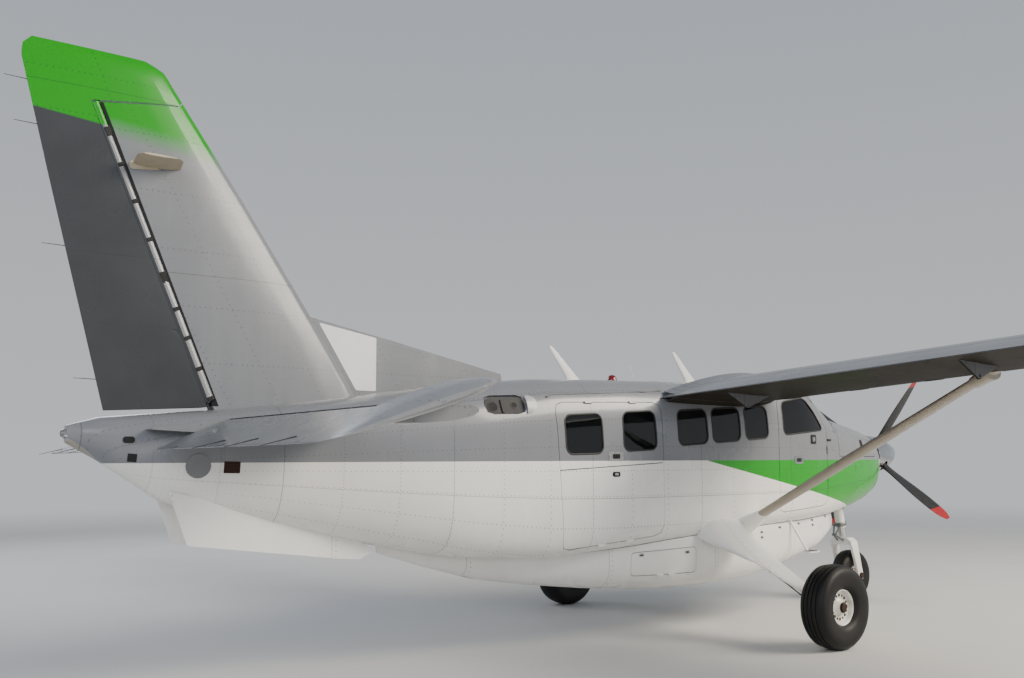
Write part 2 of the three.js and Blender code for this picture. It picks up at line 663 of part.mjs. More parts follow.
// The middle of the section at a hinge, with the radius of its rounded nose.
function hingePoint(rows, span, hingeX) {
  const upper = rows.findIndex((row) => row[0] > span);
  const [a, b] = [rows[upper - 1], rows[upper]];
  const share = (span - a[0]) / (b[0] - a[0]);
  const mix = a.map((value, i) => value + (b[i] - value) * share);
  const chord = mix[1] - mix[3];
  const x = (mix[1] - hingeX) / chord;
  const bow = WING_CAMBER * 4 * x * (1 - x) * chord;
  return {
    point: [hingeX, -span, mix[2] + (mix[4] - mix[2]) * x + bow],
    radius: 5 * mix[5] * thicknessCurve(x) * chord,
  };
}
const aileronEnds = WING_HINGE.aileron.map(([span, x]) => hingePoint(WING, span, x));
const AILERON_GAP = 7;
function noseRod(ends, growth) {
  const [a, b] = ends;
  return rod(a.point, b.point, a.radius * 0.92 + growth, b.radius * 0.92 + growth, 20);
}
function lengthened(ends, extra) {
  const [a, b] = ends.map(({ point }) => new THREE.Vector3(...point));
  const line = b.clone().sub(a).normalize();
  return [
    { point: a.addScaledVector(line, -extra).toArray(), radius: ends[0].radius },
    { point: b.addScaledVector(line, extra).toArray(), radius: ends[1].radius },
  ];
}
// The moving surfaces are hollow, each with a small drain hole through its lower skin.
const drain = (x, y, z, depth = 120) => rod([x, y, z], [x, y, z - depth], 7, 7, 6);
const PIN = { radius: 12, reach: 12, clearance: 0.7, segments: 12 };
const pinRod = (ends, growth) => rod(
  ends[0].point,
  ends[1].point,
  PIN.radius + growth,
  PIN.radius + growth,
  PIN.segments,
);
const AILERON_END_GAP = 8;
const aileronPin = lengthened(aileronEnds, AILERON_END_GAP + PIN.reach);
const aileronSocket = lengthened(aileronEnds, AILERON_END_GAP + PIN.reach + 1);

// Flap hinges: two plates under the wing each side hold a pin, on which an arm of the flap turns.
const FLAP_HINGE = { from: [6010, -800, 2138], to: [6034, -4130, 2310] };
const FLAP_BRACKETS = [1300, 3500];
const PLATE = { half: 6, clearance: 5, thick: 12 };
function flapHinge(span) {
  const { from, to } = FLAP_HINGE;
  const line = (at) => {
    const share = (at + from[1]) / (from[1] - to[1]);
    return from.map((value, i) => value + (to[i] - value) * share);
  };
  const [x, , z] = line(span);
  const wingPlate = prism([
    [x - 22, z], [x, z - 24], [x + 30, z - 16], [x + 330, z + 98], [x + 330, z + 125],
    [x + 20, z + 125], [x + 12, z + 60], [x - 14, z + 20],
  ], 1, -span - PLATE.half, -span + PLATE.half);
  const armInner = -span - PLATE.half - PLATE.clearance;
  const arm = prism([
    [x + 22, z], [x, z - 24], [x - 30, z - 16], [x - 300, z + 112], [x - 300, z + 125],
    [x - 14, z + 125], [x + 14, z + 20],
  ], 1, armInner - PLATE.thick, armInner);
  const pinEnds = [line(span), line(span + 30)].map((point) => ({ point }));
  const holeEnds = [line(span + 4), line(span + 60)].map((point) => ({ point }));
  return {
    fixed: wingPlate.add(pinRod(pinEnds, 0)),
    swinging: arm.subtract(pinRod(holeEnds, PIN.clearance)),
  };
}
const flapHinges = FLAP_BRACKETS.map(flapHinge);
const FLAP_GAP = 10;
const behindRib = box(5000, 5940, -4156, -4130, 1000, 4000);
const flapZone = hingeZone(WING_HINGE.flap, 0);
const aileronZone = hingeZone(WING_HINGE.aileron, 0, 26);
let wing = wingFull
  .subtract(wingCore)
  .subtract(hingeZone(WING_HINGE.flap, FLAP_GAP))
  .subtract(behindRib)
  .subtract(hingeZone(WING_HINGE.aileron, AILERON_END_GAP))
  .subtract(noseRod(lengthened(aileronEnds, AILERON_END_GAP), AILERON_GAP))
  .subtract(pinRod(aileronSocket, PIN.clearance))
  .subtract(fuselageClear);
const surfaceCore = (first, last, outline) => loft(
  WING.slice(first, last).map((row) => wingRing(row, { inset: WING_SKIN, steps: 4 })),
).intersect(prism(outline, 2, 1000, 4000));
const flapCore = surfaceCore(0, 2, [[5680, -820], [5990, -820], [6010, -4110], [5710, -4110]])
  .add(drain(5860, -1000, 2310));
const aileronCore = surfaceCore(2, 4, [[5700, -4190], [5950, -4190], [6060, -6480], [5900, -6480]])
  .add(drain(5850, -4400, 2470));
let flap = wingFull.intersect(flapZone).subtract(fuselageClear).subtract(flapCore);
for (const { fixed, swinging } of flapHinges) {
  wing = wing.add(fixed);
  flap = flap.add(swinging);
}
const aileron = wingFull.intersect(aileronZone)
  .subtract(aileronCore)
  .add(noseRod(aileronEnds, 0))
  .add(pinRod(aileronPin, 0));
addPair('wing', wing, 'grey');
addPair('flap', flap, 'grey');
addPair('aileron', aileron, 'grey');

// Wing strut: an oval bar from the sill of the cabin to the under side of the wing.
const STRUT = { foot: [6684, -600, 985], head: [6790, -3590, 2560], chord: 190, thick: 62 };
function ovalBar(points) {
  return loft(points.map(({ centre, chord, thick, lift }) => (
    Array.from({ length: 16 }, (_, i) => {
      const angle = ((i + 0.5) / 16) * Math.PI * 2;
      const up = new THREE.Vector3(...lift).normalize();
      return [
        centre[0] + (chord / 2) * Math.cos(angle) + (thick / 2) * Math.sin(angle) * up.x,
        centre[1] + (thick / 2) * Math.sin(angle) * up.y,
        centre[2] + (thick / 2) * Math.sin(angle) * up.z,
      ];
    })
  )));
}
const strutLift = [0, 0.48, 0.88];
const strut = ovalBar([
  { centre: STRUT.foot, chord: STRUT.chord, thick: STRUT.thick, lift: strutLift },
  { centre: STRUT.head, chord: STRUT.chord, thick: STRUT.thick, lift: strutLift },
]).subtract(bodyClear).subtract(wingClear);
addPair('wing_strut', strut, 'white');

// Main gear: a broad tapering spring leg each side, with the axle on its end.
// Columns: station, span, height, chord, thickness, and the direction across its thickness.
const GEAR_LEG = [
  [6345, -480, 1005, 640, 108, 0.25, 0.97],
  [6360, -760, 905, 520, 92, 0.42, 0.91],
  [6390, -1150, 715, 330, 74, 0.50, 0.87],
  [6440, -1560, 480, 190, 60, 0.45, 0.89],
  [6451, -1678, 371, 152, 58, 0.72, 0.69],
];
const axle = rod(
  [MAIN_WHEEL.station, -1652, MAIN_WHEEL.radius],
  [MAIN_WHEEL.station, -HALF_TRACK - 92, MAIN_WHEEL.radius],
  AXLE_RADIUS,
  AXLE_RADIUS,
  20,
);
const leg = ovalBar(GEAR_LEG.map(([x, y, z, chord, thick, liftY, liftZ]) => (
  { centre: [x, y, z], chord, thick, lift: [0, liftY, liftZ] }
))).subtract(bodyClear).add(axle);
addPair('main_gear_leg', leg, 'white');

// Wheels: a tyre on a rim that turns on the axle.
function tyreProfile({ radius, width, rim }) {
  const half = width / 2;
  const side = radius - rim;
  return [
    [-half * 0.62, rim + SEAT], [-half * 0.94, rim + side * 0.30], [-half, rim + side * 0.58],
    [-half * 0.92, rim + side * 0.80], [-half * 0.70, rim + side * 0.94], [0, radius],
    [half * 0.70, rim + side * 0.94], [half * 0.92, rim + side * 0.80], [half, rim + side * 0.58],
    [half * 0.94, rim + side * 0.30], [half * 0.62, rim + SEAT],
  ];
}
function rimProfile({ width, rim }, bore) {
  const half = width / 2;
  return [
    [-half * 0.60, bore], [-half * 0.34, rim * 0.50], [-half * 0.34, rim * 0.82],
    [-half * 0.62, rim], [half * 0.62, rim], [half * 0.34, rim * 0.82],
    [half * 0.34, rim * 0.50], [half * 0.60, bore],
  ];
}
const BORE_CLEARANCE = 1;
const mainCentre = alongY(MAIN_WHEEL.station, -HALF_TRACK, MAIN_WHEEL.radius);
const mainTyre = turnedProfile(tyreProfile(MAIN_WHEEL), MAIN_WHEEL.segments, mainCentre);
const mainRim = turnedProfile(
  rimProfile(MAIN_WHEEL, AXLE_RADIUS + BORE_CLEARANCE),
  MAIN_WHEEL.segments,
  mainCentre,
);
addPair('main_tyre', mainTyre, 'tyre');
addPair('main_rim', mainRim, 'white');

// Nose gear: a fixed upper tube, and a fork that turns in line with it.
const NOSE_AXIS = { top: [9082, 0, 1458], collar: [9221, 0, 860], fork: [9256, 0, 710] };
const STEM = { radius: 42, clearance: 0.9, top: [9209, 0, 911.5], bore: [9207.4, 0, 918.4] };
const boreFoot = [9224, 0, 847];
const boreRadius = STEM.radius + STEM.clearance;
const noseLeg = rod(NOSE_AXIS.top, NOSE_AXIS.collar, 55, 55, 20)
  .subtract(rod(STEM.bore, boreFoot, boreRadius, boreRadius, 20))
  .subtract(engineClear);
addPart('nose_leg', noseLeg, 'white');
const forkAxle = rod(
  [NOSE_WHEEL.station, -155, NOSE_WHEEL.radius],
  [NOSE_WHEEL.station, 155, NOSE_WHEEL.radius],
  22,
  22,
  20,
);
const forkStem = rod(STEM.top, NOSE_AXIS.fork, STEM.radius, STEM.radius, 20);
const forkCrown = prism(
  [[-150, 655], [150, 655], [150, 690], [90, 735], [-90, 735], [-150, 690]],
  0,
  9190,
  9320,
);
const forkArm = prism(
  [[9195, 690], [9315, 690], [9410, 290], [9400, 252], [9345, 252], [9320, 300]],
  1,
  -150,
  -118,
);
const fork = forkStem.add(forkCrown).add(forkArm).add(mirrored(forkArm)).add(forkAxle);
addPart('nose_fork', fork, 'white');
const noseCentre = alongY(NOSE_WHEEL.station, 0, NOSE_WHEEL.radius);
addPart(
  'nose_tyre',
  turnedProfile(tyreProfile(NOSE_WHEEL), NOSE_WHEEL.segments, noseCentre),
  'tyre',
);
addPart(
  'nose_rim',
  turnedProfile(rimProfile(NOSE_WHEEL, 22 + BORE_CLEARANCE), NOSE_WHEEL.segments, noseCentre),
  'white',
);

// Propeller: hub and four feathered blades, with a spinner round them.
// Columns: radius, chord, thickness, blade angle from the disc.
const BLADE = [
  [60, 100, 96, 90],
  [200, 104, 84, 96],
  [360, 160, 42, 93],
  [760, 214, 22, 84],
  [1090, 170, 12, 78],
  [PROPELLER.radius, 62, 6, 75],
];
function blade() {
  return loft(BLADE.map(([radius, chord, thick, pitch]) => {
    const angle = THREE.MathUtils.degToRad(pitch);
    return Array.from({ length: 10 }, (_, i) => {
      const turn = ((i + 0.5) / 10) * Math.PI * 2;
      const [u, v] = [(chord / 2) * Math.cos(turn), (thick / 2) * Math.sin(turn)];
      return [
        u * Math.sin(angle) + v * Math.cos(angle),
        u * Math.cos(angle) - v * Math.sin(angle),
        radius,
      ];
    });
  }));
}
const hubLine = [1, 0, 0];
const hubProfile = (growth) => [
  [HUB_BACK - growth, 0], [HUB_BACK - growth, 90 + growth], [-90, 140 + growth],
  [110 + growth, 140 + growth], [150 + growth, 0],
];
const bulkheadProfile = [[-86, 0], [-86, 240], [-80, 240], [-80, 0]];
let propeller = turnedProfile(hubProfile(0), 20, alongX(0, 0, 0));
const bulkhead = turnedProfile(bulkheadProfile, 20, alongX(0, 0, 0))
  .subtract(turnedProfile(hubProfile(SEAT), 20, alongX(0, 0, 0)));
const tiltRadians = THREE.MathUtils.degToRad(PROPELLER.tilt);
const spinnerLength = (LENGTH - PROPELLER.station) / Math.cos(tiltRadians);
const SPINNER = { back: -190, radius: 252, skin: 8, steps: 5, segments: 20 };
function spinnerCurve(length, radius) {
  return Array.from({ length: SPINNER.steps + 1 }, (_, i) => {
    const t = i / SPINNER.steps;
    return [SPINNER.back + (length - SPINNER.back) * t, t === 1 ? 0 : radius * (1 - t ** 1.7) ** 0.72];
  });
}
let spinner = turnedProfile(
  [
    ...spinnerCurve(spinnerLength - 14, SPINNER.radius - SPINNER.skin).reverse(),
    ...spinnerCurve(spinnerLength, SPINNER.radius),
  ],
  SPINNER.segments,
  alongX(0, 0, 0),
).add(bulkhead);
const rootHole = rod([0, 0, 20], [0, 0, 400], 72, 72, 12);
for (let i = 0; i < PROPELLER.blades; i += 1) {
  const degrees = PROPELLER.rest + (i * 360) / PROPELLER.blades;
  propeller = propeller.add(turned(blade(), [0, 0, 0], hubLine, degrees));
  spinner = spinner.subtract(turned(rootHole, [0, 0, 0], hubLine, degrees));
}
addPart('propeller', mounted(propeller), 'black');
addPart('spinner', mounted(spinner), 'grey');

// Fin and rudder. Columns: height, leading station, trailing station, thickness.
const FIN = [
  [1980, 2800, 665, 0.088],
  [2640, 2360, 490, 0.088],
  [3710, 1620, 205, 0.088],
  [4500, 1050, 0, 0.085],
  [4590, 985, 4, 0.070],
  [FIN_TOP, 850, 60, 0.030],
];
const FIN_HINGE = [[1420, 2060], [500, 4250]];
function finRing([height, lead, trail, thick], inset = 0) {
  return aerofoilRing({
    lead: [lead - inset, 0, height],
    trail: [trail + inset, 0, height],
    side: [0, 1, 0],
    thick,
    skin: inset,
  });
}
const finFull = loft(FIN.map((row) => finRing(row)));
const finCore = loft(FIN.slice(0, 4).map((row) => finRing(row, TAIL_SKIN)));
const hingeX = (height, ahead = 0) => {
  const share = (height - FIN_HINGE[0][1]) / (FIN_HINGE[1][1] - FIN_HINGE[0][1]);
  return FIN_HINGE[0][0] + (FIN_HINGE[1][0] - FIN_HINGE[0][0]) * share + ahead;
};
function rudderZone(growth, setback = 0) {
  const ahead = growth - setback;
  const hornLine = [[hingeX(4250, ahead), 4262 - growth], [1100, 4352 - growth], [1500, 4800]];
  return prism([
    [hingeX(2072 - growth, ahead), 2072 - growth],
    ...hornLine,
    [-200, 4800],
    [-200, 2030 - growth],
    [650, 2030 - growth],
  ], 1, -400, 400);
}
const rudderRod = (growth, extra) => rod(
  [hingeX(2120 - extra), 0, 2120 - extra],
  [hingeX(4255 + extra), 0, 4255 + extra],
  74 + growth,
  40 + growth,
  20,
);
const rudderPin = (growth, foot) => pinRod([
  { point: [hingeX(2130), 0, 2130] },
  { point: [hingeX(foot), 0, foot] },
], growth);
const rudderSocket = rudderPin(PIN.clearance, 1990);
addPart('tail_section', tailShell.subtract(rudderSocket), 'grey');
const RUDDER_GAP = 7;
const finCoreZone = prism([
  [2900, 1900], [hingeX(1900, 105), 1900], [hingeX(4150, 80), 4150], [2000, 4150],
], 1, -400, 400);
const belowRudder = prism(
  [[hingeX(1900, 10), 1900], [hingeX(2100, 10), 2100], [0, 2100], [0, 1900]],
  1,
  -400,
  400,
);
const fin = finFull
  .subtract(rudderZone(10))
  .subtract(belowRudder)
  .subtract(rudderRod(RUDDER_GAP, 12))
  .subtract(rudderSocket)
  .subtract(finCore.intersect(finCoreZone))
  .subtract(fuselageClear);
addPart('fin', fin, 'grey');
const rudderCoreZone = prism([
  [hingeX(2000, -56), 2000], [hingeX(4200, -50), 4200], [420, 4370], [930, 4420], [880, 4475],
  [110, 4475], [120, 4200], [640, 2100], [640, 2000],
], 1, -400, 400);
const rudder = finFull.intersect(rudderZone(0, 36)).add(rudderRod(0, 0))
  .add(rudderPin(0, 2035))
  .subtract(finCore.intersect(rudderCoreZone))
  .subtract(rudderRod(-14, -40));
addPart('rudder', rudder, 'darkGrey');

// Dorsal fin: a thin plate from the roof up to the fin.
const DORSAL = [[2520, 2000], [4160, 2330], [4130, 2455], [2960, 2690], [2180, 2835], [2150, 2600]];
const dorsal = prism(DORSAL, 1, -17, 17)
  .subtract(fuselageClear)
  .subtract(loft(FIN.map((row) => finRing(row, -SEAT))));
addPart('dorsal_fin', dorsal, 'grey');

// Tailplane and elevator, starboard half. The elevator hangs at its lower stop, and its end horn
// reaches ahead to the leading edge. Columns: span, leading station, trailing station, thickness.
const TAILPLANE = { height: 1925, hinge: 1455, incidence: 3 };
const TAIL_ROWS = [
  [150, 2370, 900, 0.10],
  [2540, 2120, 905, 0.10],
  [2760, 2095, 910, 0.09],
  [2860, 2040, 935, 0.065],
  [2910, 1930, 990, 0.03],
];
const tailSlope = Math.tan(THREE.MathUtils.degToRad(TAILPLANE.incidence));
const tailHeight = (x) => TAILPLANE.height + (x - TAILPLANE.hinge) * tailSlope;
function tailRing([span, lead, trail, thick], inset = 0) {
  return aerofoilRing({
    lead: [lead - inset, -span, tailHeight(lead)],
    trail: [trail + inset, -span, tailHeight(trail)],
    side: [0, 0, 1],
    thick,
    skin: inset,
  });
}
const tailFull = loft(TAIL_ROWS.map((row) => tailRing(row)));
const tailCore = loft(TAIL_ROWS.slice(0, 4).map((row) => tailRing(row, TAIL_SKIN)));
const HORN_INNER = 2545;
const ELEVATOR_INNER = 330;
function elevatorZone(growth, setback = 0) {
  return prism([
    [TAILPLANE.hinge + growth - setback, -ELEVATOR_INNER + growth],
    [TAILPLANE.hinge + growth - setback, -HORN_INNER + growth],
    [2400, -HORN_INNER + growth],
    [2400, -3000],
    [800, -3000],
    [800, -ELEVATOR_INNER + growth],
  ], 2, 1000, 3000);
}
const elevatorRod = (growth, extra) => rod(
  [TAILPLANE.hinge, -ELEVATOR_INNER + extra, TAILPLANE.height],
  [TAILPLANE.hinge, -HORN_INNER - 20, TAILPLANE.height],
  46 + growth,
  42 + growth,
  20,
);
const elevatorPin = (growth, reach) => pinRod([
  { point: [TAILPLANE.hinge, -ELEVATOR_INNER - 40, TAILPLANE.height] },
  { point: [TAILPLANE.hinge, -ELEVATOR_INNER + 8 + reach, TAILPLANE.height] },
], growth);
const tailCoreZone = box(1530, 2600, -2500, 100, 1000, 3000);
const stabiliser = tailFull
  .subtract(elevatorZone(8))
  .subtract(elevatorRod(7, 10))
  .subtract(elevatorPin(PIN.clearance, PIN.reach + 1))
  .subtract(tailCore.intersect(tailCoreZone))
  .subtract(fuselageClear);
addPair('stabiliser', stabiliser, 'grey');
const ELEVATOR_BAY = [
  [1020, -ELEVATOR_INNER - 20], [1419, -ELEVATOR_INNER - 20], [1419, -HORN_INNER - 14],
  [2010, -HORN_INNER - 14], [2010, -2840], [1020, -2840],
];
const ROD_WALL = 6;
const elevatorCore = tailCore.intersect(prism(ELEVATOR_BAY, 2, 1000, 3000))
  .add(drain(1250, -500, 1912));
const elevator = tailFull.intersect(elevatorZone(0, 32))
  .subtract(elevatorCore)
  .add(elevatorRod(0, 0))
  .subtract(elevatorRod(-ROD_WALL, -50))
  .add(elevatorPin(0, PIN.reach));
const hangingElevator = turned(
  elevator,
  [TAILPLANE.hinge, 0, TAILPLANE.height],
  [0, 1, 0],
  -ELEVATOR_DROOP,
);
addPair('elevator', hangingElevator, 'grey');

// Ventral strakes under the tail.
const STRAKE = [[1080, 1460], [1225, 1070], [2400, 912], [2620, 890], [2740, 955], [2400, 1150]];
addPair('ventral_strake', prism(STRAKE, 1, -172, -158).subtract(fuselageClear), 'white');

// Crew steps: a bent bar with a flat tread below each crew door.
const stepBar = rod([7500, -560, 1060], [7540, -760, 720], 14, 14, 12);
const stepPad = prism(rounded([[7450, -860], [7640, -860], [7640, -740], [7450, -740]], 40), 2, 708, 722);
addPair('crew_step', stepBar.add(stepPad).subtract(bodyClear), 'white');

export default aircraft;
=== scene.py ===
import json
import math

import bmesh
import bpy
import numpy as np
from mathutils import Matrix, Vector

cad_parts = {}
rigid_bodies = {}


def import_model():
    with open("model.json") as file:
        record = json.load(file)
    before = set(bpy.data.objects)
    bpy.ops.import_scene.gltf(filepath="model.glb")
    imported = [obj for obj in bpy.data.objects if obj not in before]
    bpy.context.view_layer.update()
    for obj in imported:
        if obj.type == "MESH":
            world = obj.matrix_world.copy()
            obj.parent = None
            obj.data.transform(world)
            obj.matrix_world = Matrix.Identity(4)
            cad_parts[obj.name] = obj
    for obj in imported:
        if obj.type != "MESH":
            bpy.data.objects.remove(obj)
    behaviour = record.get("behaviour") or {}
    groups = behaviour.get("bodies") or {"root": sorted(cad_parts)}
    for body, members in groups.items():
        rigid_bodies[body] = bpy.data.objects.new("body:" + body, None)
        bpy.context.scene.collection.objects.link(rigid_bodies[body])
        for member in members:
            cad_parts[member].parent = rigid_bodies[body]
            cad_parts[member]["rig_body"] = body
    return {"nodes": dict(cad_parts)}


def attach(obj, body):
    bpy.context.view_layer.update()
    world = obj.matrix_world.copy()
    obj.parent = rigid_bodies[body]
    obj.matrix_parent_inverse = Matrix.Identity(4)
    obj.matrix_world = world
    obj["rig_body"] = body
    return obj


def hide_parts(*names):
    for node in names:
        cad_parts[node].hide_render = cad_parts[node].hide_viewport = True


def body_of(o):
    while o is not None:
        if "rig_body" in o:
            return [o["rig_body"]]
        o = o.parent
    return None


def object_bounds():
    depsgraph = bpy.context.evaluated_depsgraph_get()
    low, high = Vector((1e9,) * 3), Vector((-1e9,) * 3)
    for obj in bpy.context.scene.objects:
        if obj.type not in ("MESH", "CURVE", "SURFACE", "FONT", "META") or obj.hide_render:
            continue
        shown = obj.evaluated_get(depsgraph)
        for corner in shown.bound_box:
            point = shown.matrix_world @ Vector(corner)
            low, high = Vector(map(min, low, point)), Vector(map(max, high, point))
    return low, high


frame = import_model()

cad_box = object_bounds()
nodes = frame["nodes"]

# Viewpoint: standing eye height on paved ground, behind and to the right of the tail, looking up
# a little at the whole right side.
eye = bpy.data.objects.new("eye", bpy.data.cameras.new("eye"))
bpy.context.scene.collection.objects.link(eye)
eye.data.lens = 35.2
eye.data.sensor_width = 36
eye.data.clip_end = 400
eye.matrix_world = (
    Matrix.Translation((-6.505, -7.40, 1.655))
    @ Matrix.Rotation(math.radians(-37), 4, "Z")
    @ Matrix.Rotation(math.radians(97), 4, "X")
    @ Matrix.Rotation(math.radians(-0.3), 4, "Z")
)
bpy.context.scene.camera = eye


def add_node(tree, kind, *values, **settings):
    """Adds a shader node, sets or links its inputs by place or by name, and gives its outputs."""
    node = tree.nodes.new("ShaderNode" + kind)
    for name, value in settings.items():
        setattr(node, name, value)
    inputs = values[0] if values and isinstance(values[0], dict) else dict(enumerate(values))
    for key, value in inputs.items():
        if isinstance(value, bpy.types.NodeSocket):
            tree.links.new(value, node.inputs[key])
        else:
            node.inputs[key].default_value = value
    return node.outputs


def linear(hex_colour):
    """An sRGB hex colour as linear RGBA."""
    parts = [int(hex_colour[i:i + 2], 16) / 255 for i in (1, 3, 5)]
    return (*[p / 12.92 if p <= 0.04045 else ((p + 0.055) / 1.055) ** 2.4 for p in parts], 1.0)


def new_material(name, **sockets):
    """A material with one Principled shader, its constant sockets set."""
    material = bpy.data.materials.new(name)
    material.use_nodes = True
    tree = material.node_tree
    shader = tree.nodes["Principled BSDF"]
    for socket, value in sockets.items():
        shader.inputs[socket.replace("_", " ")].default_value = value
    return material, tree, shader


def patches(size):
    """The scale of a pattern whose patches are this many millimetres across."""
    return 1000 / size


# Ground and light: a plain pale painted floor at tyre level under a soft overcast studio sky, with
# one broad key from the right front and weak fills from behind the viewer and from the far side.
bpy.ops.mesh.primitive_plane_add(size=240, location=(0, 0, 0))
floor = bpy.context.object
floor.name = "pale_floor"
pale_floor, tree, shader = new_material("pale_floor_paint", Roughness=0.75)
where = add_node(tree, "TexCoord")["Object"]
cloudy = add_node(tree, "TexNoise", {"Vector": where, "Scale": patches(1667), "Detail": 6.0})["Fac"]
tone = add_node(tree, "Mix", {0: cloudy, 6: linear("#c9c8c5"), 7: linear("#d6d5d2")}, data_type="RGBA")[2]
tree.links.new(tone, shader.inputs["Base Color"])
HORIZON = "#dfe2e6"
SKY_STRENGTH = 0.8
HAZE_FROM, HAZE_TO = 9.0, 34.0
far = add_node(tree, "VectorMath", where, operation="LENGTH")["Value"]
into_haze = add_node(tree, "MapRange", far, HAZE_FROM, HAZE_TO, 0.0, 1.0, interpolation_type="SMOOTHSTEP")[0]
haze = add_node(tree, "Emission", {"Color": linear(HORIZON), "Strength": SKY_STRENGTH})[0]
merged = add_node(tree, "MixShader", into_haze, shader.outputs[0], haze)[0]
tree.links.new(merged, tree.nodes["Material Output"].inputs["Surface"])
floor.data.materials.append(pale_floor)

world = bpy.data.worlds.new("soft_sky")
bpy.context.scene.world = world
world.use_nodes = True
sky = world.node_tree
background = sky.nodes["Background"]
height = add_node(sky, "SeparateXYZ", add_node(sky, "TexCoord")["Generated"])["Z"]
fade = add_node(sky, "MapRange", height, 0.02, 0.9, 0.0, 1.0)[0]
glow = add_node(sky, "Mix", {0: fade, 6: linear(HORIZON), 7: linear("#9fa9b8")}, data_type="RGBA")[2]
sky.links.new(glow, background.inputs["Color"])
background.inputs["Strength"].default_value = SKY_STRENGTH


def area_light(name, place, target, size, power, colour):
    """A rectangular lamp at a place, aimed at a target. Power is in watts."""
    lamp = bpy.data.objects.new(name, bpy.data.lights.new(name, "AREA"))
    lamp.data.shape = "RECTANGLE"
    lamp.data.size, lamp.data.size_y = size
    lamp.data.energy = power
    lamp.data.color = linear(colour)[:3]
    aim = Vector(target) - Vector(place)
    lamp.matrix_world = Matrix.Translation(place) @ aim.to_track_quat("-Z", "Y").to_matrix().to_4x4()
    bpy.context.scene.collection.objects.link(lamp)


area_light("key_right_front", (9, -13, 11), (0, 0, 1.5), (11, 7), 4600, "#fff3e2")
area_light("fill_behind_viewer", (-13, -9, 7), (-1, 0, 1.5), (10, 6), 600, "#eef3ff")
area_light("far_side", (-3, 14, 9), (0, 0, 1.5), (10, 6), 800, "#f2f5ff")


# Fuselage, doors and cowl: sheet aluminium on frames and stringers, flush riveted, filled, and
# sprayed with polyurethane enamel in grey over white, with a green wedge over the nose.
GREY = "#7a7d82"
WHITE = "#f1f0ec"
GREEN = "#0c9600"
LINING = "#9b978e"
PARTING = 1.660
WEDGE_START = (0.905, 1.655)
WEDGE_LOW = (3.355, 1.170)
INTAKE_LIP = 4.42
RIVET = 0.0070
RIVET_PITCH = 0.042
CORE_HEIGHT = 1.62
MEAN_REACH = 0.72


def coats(tree, ground, *layers):
    """A ground colour with coats laid over it, each by its mask. Colours are hex or sockets."""
    ground = linear(ground) if isinstance(ground, str) else ground
    for mask, colour in layers:
        colour = linear(colour) if isinstance(colour, str) else colour
        ground = add_node(tree, "Mix", {0: mask, 6: ground, 7: colour}, data_type="RGBA")[2]
    return ground


def strongest(tree, layers):
    """The strongest of several patterns at each point."""
    total = layers[0]
    for layer in layers[1:]:
        total = add_node(tree, "Math", total, layer, operation="MAXIMUM")[0]
    return total


def past(tree, value, start, slope):
    """1 where a value is past a start and 0 before it, or the other way round for a slope below 0."""
    beyond = add_node(tree, "Math", value, start, operation="SUBTRACT")[0]
    return add_node(tree, "Math", beyond, slope, 0.5, operation="MULTIPLY_ADD", use_clamp=True)[0]


def above_line(tree, along, across, start, end, blur=0.002):
    """1 where across lies above the straight line from start to end, else 0."""
    slope = (end[1] - start[1]) / (end[0] - start[0])
    line = add_node(tree, "Math", along, slope, start[1] - slope * start[0], operation="MULTIPLY_ADD")[0]
    return past(tree, across, line, 1 / blur)


def rivet_rows(tree, across, along, row_pitch, row_offset=0.0):
    """Dots in rows: a row every row_pitch across, a rivet every RIVET_PITCH along it."""
    shifted = add_node(tree, "Math", across, row_offset, operation="ADD")[0]
    from_row = add_node(tree, "Math", shifted, row_pitch / 2, operation="PINGPONG")[0]
    from_rivet = add_node(tree, "Math", along, RIVET_PITCH / 2, operation="PINGPONG")[0]
    both = add_node(tree, "CombineXYZ", from_row, from_rivet)[0]
    away = add_node(tree, "VectorMath", both, operation="LENGTH")["Value"]
    return add_node(tree, "Math", away, -2 / RIVET, 2.0, operation="MULTIPLY_ADD", use_clamp=True)[0]


def seam_lines(tree, across, pitch, offset=0.0, width=0.0022):
    """Thin lines every pitch for sheet edges, drawn about 5 mm wide, more than the true 1 mm."""
    shifted = add_node(tree, "Math", across, offset, operation="ADD")[0]
    away = add_node(tree, "Math", shifted, pitch / 2, operation="PINGPONG")[0]
    return add_node(tree, "Math", away, -1 / width, 1.6, operation="MULTIPLY_ADD", use_clamp=True)[0]


